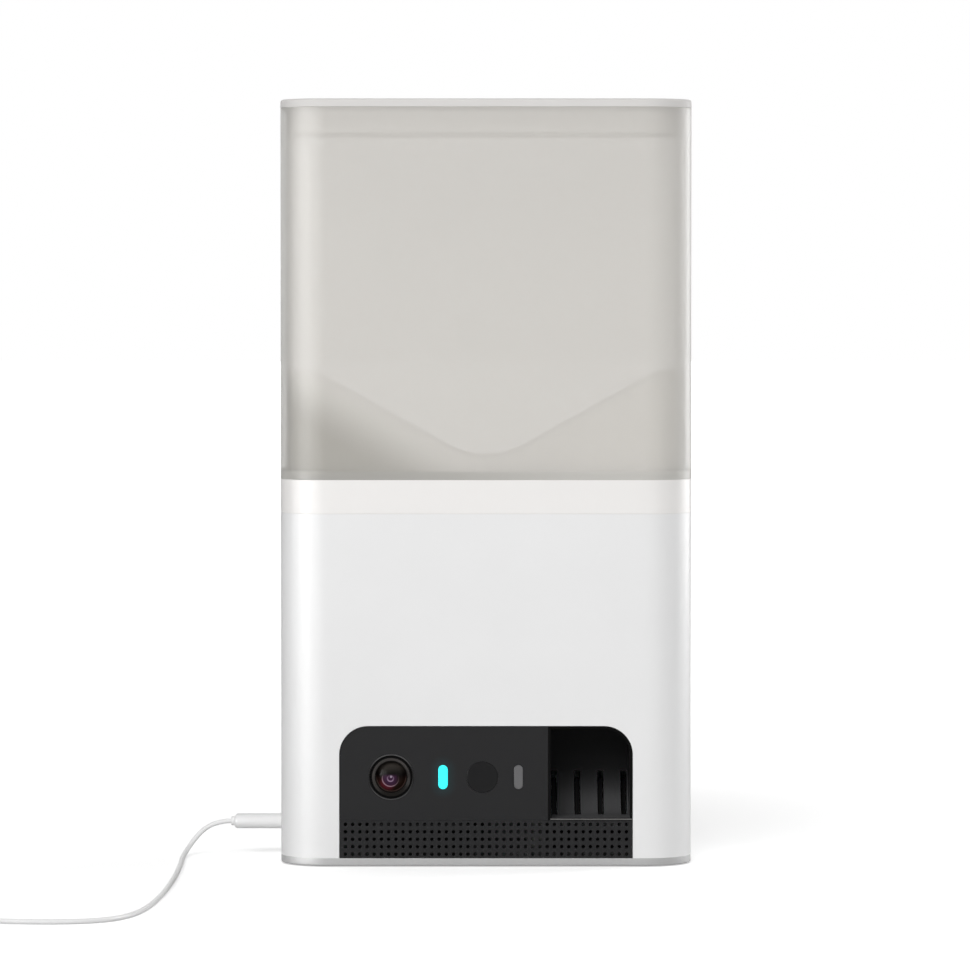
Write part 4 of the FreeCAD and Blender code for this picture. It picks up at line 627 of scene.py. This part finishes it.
# Lights and sensors. Two upright light pipes with round ends, the left one lit cyan, the right one a pale
# grey, and a dark round window over the infrared lamps.
cyan_lit = moulded("status_cyan", tint(40, 200, 205), 0.3,
                   **{"Emission Color": tint(50, 244, 246), "Emission Strength": 0.85})
pipe_grey = moulded("pipe_grey", tint(96, 96, 97), 0.35)
window_dark = moulded("window_dark", tint(22, 22, 23), 0.2, grain=0.3, relief=0.002,
                      **{"Specular IOR Level": 0.2})
for name, x, width, finish, slot, node in (
        ("status_light", status_x, 3.26, cyan_lit, "status_light", "status_light_pipe"),
        ("sensor_light", sensor_x, 3.05, pipe_grey, "sensor_light", "sensor_light_pipe")):
    pipe = rounded_block((x - width / 2, front, instrument_z - 4.2),
                         (x + width / 2, -30.5, instrument_z + 4.2), width / 2 - 0.01, "Y", 12)
    settle(name, pipe, finish, "casing", slot, node, edge=0.1)
settle("night_vision", rod("Y", (infrared_x, -36.35, instrument_z), 5.5, 1.3, 72), window_dark, "casing",
       "dark_window", "night_vision_window", edge=0.1)

# Exit chute. The black box behind the treat window: a flat floor that curves up at the back as a scoop with
# four slots for the fork's tines, open above for the falling treat, with a mouth that lines the window.
chute_left, chute_right, chute_floor, side_wall = 22.7, 50.5, 17.2, 1.4
scoop_y, scoop_z, scoop_wall = -24, 33.5, 1.6
scoop_radius = scoop_z - chute_floor
chute_middle = (chute_left + chute_right) / 2
first_tine, tine_pitch, tine_gap = 24.225, 8.25, 1.1


def chute_paint(x, y, z, shade):
    """Darkest round the mouth, with painted light that makes the scoop paler towards its floor, and a thin
    painted highlight on the sill's edge.
    """
    # painted light: the scoop is paler towards its floor
    inside = (1 - z.ease(17, 33)).mix(tint(34, 34, 35), tint(82, 82, 83))
    colour = y.ease(-36.6, -35).mix(tint(10, 10, 10), inside)
    # painted highlight: a thin pale line along the sill's front edge
    sill_highlight = (1 - y.ease(-36.95, -36.8)) * z.band(16.6, 16.7, 17.0, 17.1) * x.ease(22.5, 22.7)
    return {"Base Color": sill_highlight.mix(colour, tint(112, 111, 110))}


chute_black = moulded("chute_black", tint(26, 26, 27), 0.42, grain=0.3, relief=0.01, paint=chute_paint,
                      **{"Specular IOR Level": 0.05})
scoop_outside = prism(
    [(-34.3, chute_floor - scoop_wall), *arc((scoop_y, scoop_z), scoop_radius + scoop_wall, -90, 0, 24),
     (scoop_y + scoop_radius + scoop_wall, 52), (-34.3, 52)],
    "X", chute_left - side_wall, chute_right + side_wall)
mouth_outside = prism(
    [(panel_right + fit, panel_low), (panel_side, panel_low),
     *arc((corner_x, corner_z), panel_corner, 0, 90), (panel_right + fit, panel_top)], "Y", front, -33.6)
ears = [rounded_block((x, -22, plate_top), (x + side_wall, -10, 18.8), 0)
        for x in (chute_left - side_wall, chute_right)]
scoop_inside = prism(
    [(-38, chute_floor), *arc((scoop_y, scoop_z), scoop_radius, -90, 0, 24), (scoop_y + scoop_radius, 53),
     (-32.9, 53), (-32.9, 38.7), (-38, 38.7)], "X", chute_left, chute_right)
mouth_inside = prism(
    [(chute_left, chute_floor), (chute_right, chute_floor), *arc((41.3, corner_z), 9.2, 0, 90),
     (chute_left, 48.7)], "Y", -38, -31.5)
tine_slots = [rounded_block((x - tine_gap, -23, 14), (x + tine_gap, -5, 31.4), 0)
              for x in (first_tine + tine * tine_pitch for tine in range(4))]
chute = carve(combine(scoop_outside, "UNION", mouth_outside, *ears), scoop_inside, mouth_inside,
              rod("X", (chute_middle, -16, 8), 1.55, 33, 24), *tine_slots)
settle("chute", chute, chute_black, "casing", "black_plastic", "exit_chute", edge=0.12)

# Reset button. A small grey disc in the back wall, with a slightly rounded rim.
button = rod("Y", (button_x, 34.25, button_z), button_radius, 5.4)
settle("reset_key", button, base_grey, "button", "grey_base", "reset_button", edge=0.25)


# Inside. The other pieces keep their CAD shape: plastics, gears, steel parts, boards and rubber seals, each
# group with its own finish.
def dress(finish, *nodes):
    """Gives CAD nodes that stay as they are a finish."""
    for node in nodes:
        for material_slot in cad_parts[node].material_slots:
            material_slot.material = finish


dress(white, "hopper_deck", "metering_floor")
dress(moulded("duct_black", tint(30, 30, 31), 0.5), "drop_chute", "speaker_frame", "reset_switch")
dress(moulded("fork_black", tint(13, 13, 13), 0.45, **{"Specular IOR Level": 0.2}), "toss_fork")
dress(moulded("cone_paper", tint(28, 28, 28), 0.85, grain=0.8, relief=0.05), "speaker_cone")
dress(moulded("chip_black", tint(30, 30, 31), 0.55), "board_chips")
dress(window_dark, "infrared_emitter")
dress(moulded("board_green", tint(22, 70, 48), 0.45, grain=1.5, relief=0.02), "camera_board",
      "indicator_board", "main_board")
dress(moulded("steel", tint(196, 197, 199), 0.3, grain=0.4, relief=0.006, Metallic=1.0), "base_screws",
      "speaker_magnet", "power_socket", "wheel_axle", "wheel_motor", "toss_motor", "motor_bracket",
      "toss_axle", "plug_tip")
dress(moulded("seal_silicone", tint(214, 213, 210), 0.6), "container_seal", "lid_gasket")
dress(moulded("wheel_grey", tint(206, 204, 200), 0.45), "treat_wheel")
dress(moulded("gear_white", tint(224, 222, 214), 0.4), "wheel_pinion", "toss_sector", "toss_pinion")
dress(moulded("tie_grey", tint(150, 150, 152), 0.7, grain=0.6, relief=0.03), "cord_tie")

# Room. A plain white floor that keeps the shadow, soft grey light from all round, a broad key light from
# the left, a rim light from the right, and three bright cards at the sides that only reflections see.
room = bpy.data.worlds.new("room")
bpy.context.scene.world = room
room.use_nodes = True
room.node_tree.nodes.clear()
tree = Shade(room.node_tree)
camera_ray = tree.node("ShaderNodeLightPath", out="Is Camera Ray")
glossy_ray = tree.node("ShaderNodeLightPath", out="Is Glossy Ray")
through_ray = tree.node("ShaderNodeLightPath", out="Is Transmission Ray")
ambient = tree.node("ShaderNodeBackground", {}, {"Color": (0.27, 0.27, 0.27, 1), "Strength": 1.0})
backdrop = tree.node("ShaderNodeBackground", {}, {"Color": (1, 1, 1, 1), "Strength": 1.0})
seen = camera_ray.at_least(glossy_ray).at_least(through_ray)
surroundings = tree.node("ShaderNodeMixShader", {}, {0: seen, 1: ambient, 2: backdrop})
tree.node("ShaderNodeOutputWorld", {}, {"Surface": surroundings})

floor_paper = bpy.data.materials.new("floor_paper")
floor_paper.use_nodes = True
floor_paper.node_tree.nodes.clear()
tree = Shade(floor_paper.node_tree)
camera_ray = tree.node("ShaderNodeLightPath", out="Is Camera Ray")
paper = tree.node("ShaderNodeBsdfDiffuse", {}, {"Color": (0.8, 0.8, 0.8, 1)})
place = tree.node("ShaderNodeTexCoord", out="Object")
away = tree.node("ShaderNodeVectorMath", {"operation": "LENGTH"}, {0: place}, out="Value")
glow = tree.node("ShaderNodeMapRange", {"interpolation_type": "SMOOTHSTEP"}, {
    "Value": away, "From Min": 0.1, "From Max": 0.7, "To Min": 0.5, "To Max": 1.0})
white_glow = tree.node("ShaderNodeEmission", {}, {"Color": (1, 1, 1, 1), "Strength": glow})
both = tree.node("ShaderNodeAddShader", {}, {0: paper, 1: white_glow})
lit = tree.node("ShaderNodeMixShader", {}, {0: camera_ray, 1: paper, 2: both})
tree.node("ShaderNodeOutputMaterial", {}, {"Surface": lit})
floor_shape = bmesh.new()
bmesh.ops.create_grid(floor_shape, x_segments=1, y_segments=1, size=15)
floor_mesh = bpy.data.meshes.new("floor")
floor_shape.to_mesh(floor_mesh)
floor_shape.free()
floor_mesh.materials.append(floor_paper)
ground = bpy.data.objects.new("floor", floor_mesh)
bpy.context.scene.collection.objects.link(ground)


def lamp(name, azimuth, elevation, distance, size, power, reach):
    """An area light that faces the tower's middle; azimuth 0 is in front, positive to the right. It reaches
    either diffuse or glossy rays."""
    light = bpy.data.lights.new(name, "AREA")
    light.shape = "RECTANGLE"
    light.size, light.size_y = size
    light.energy = power
    turn, rise = math.radians(azimuth), math.radians(elevation)
    way = Vector((math.sin(turn) * math.cos(rise), -math.cos(turn) * math.cos(rise), math.sin(rise)))
    holder = bpy.data.objects.new(name, light)
    bpy.context.scene.collection.objects.link(holder)
    holder.location = Vector((0, 0, 0.135)) + way * distance
    holder.rotation_euler = way.to_track_quat("Z", "Y").to_euler()
    holder.visible_camera = False
    holder.visible_diffuse = reach == "diffuse"
    holder.visible_glossy = reach == "glossy"
    holder.visible_transmission = False


lamp("key", azimuth=-17, elevation=30, distance=2.6, size=(1.6, 1.2), power=42.5, reach="diffuse")
lamp("rim", azimuth=120, elevation=18, distance=2.2, size=(0.8, 1.4), power=20, reach="diffuse")
lamp("narrow card", azimuth=-58, elevation=2, distance=1.9, size=(1.0, 1.3), power=29, reach="glossy")
lamp("wide card", azimuth=-58, elevation=2, distance=1.95, size=(2.9, 1.3), power=70, reach="glossy")
lamp("edge card", azimuth=119, elevation=2, distance=1.9, size=(1.6, 1.3), power=36, reach="glossy")
bpy.context.scene.view_settings.view_transform = "Standard"
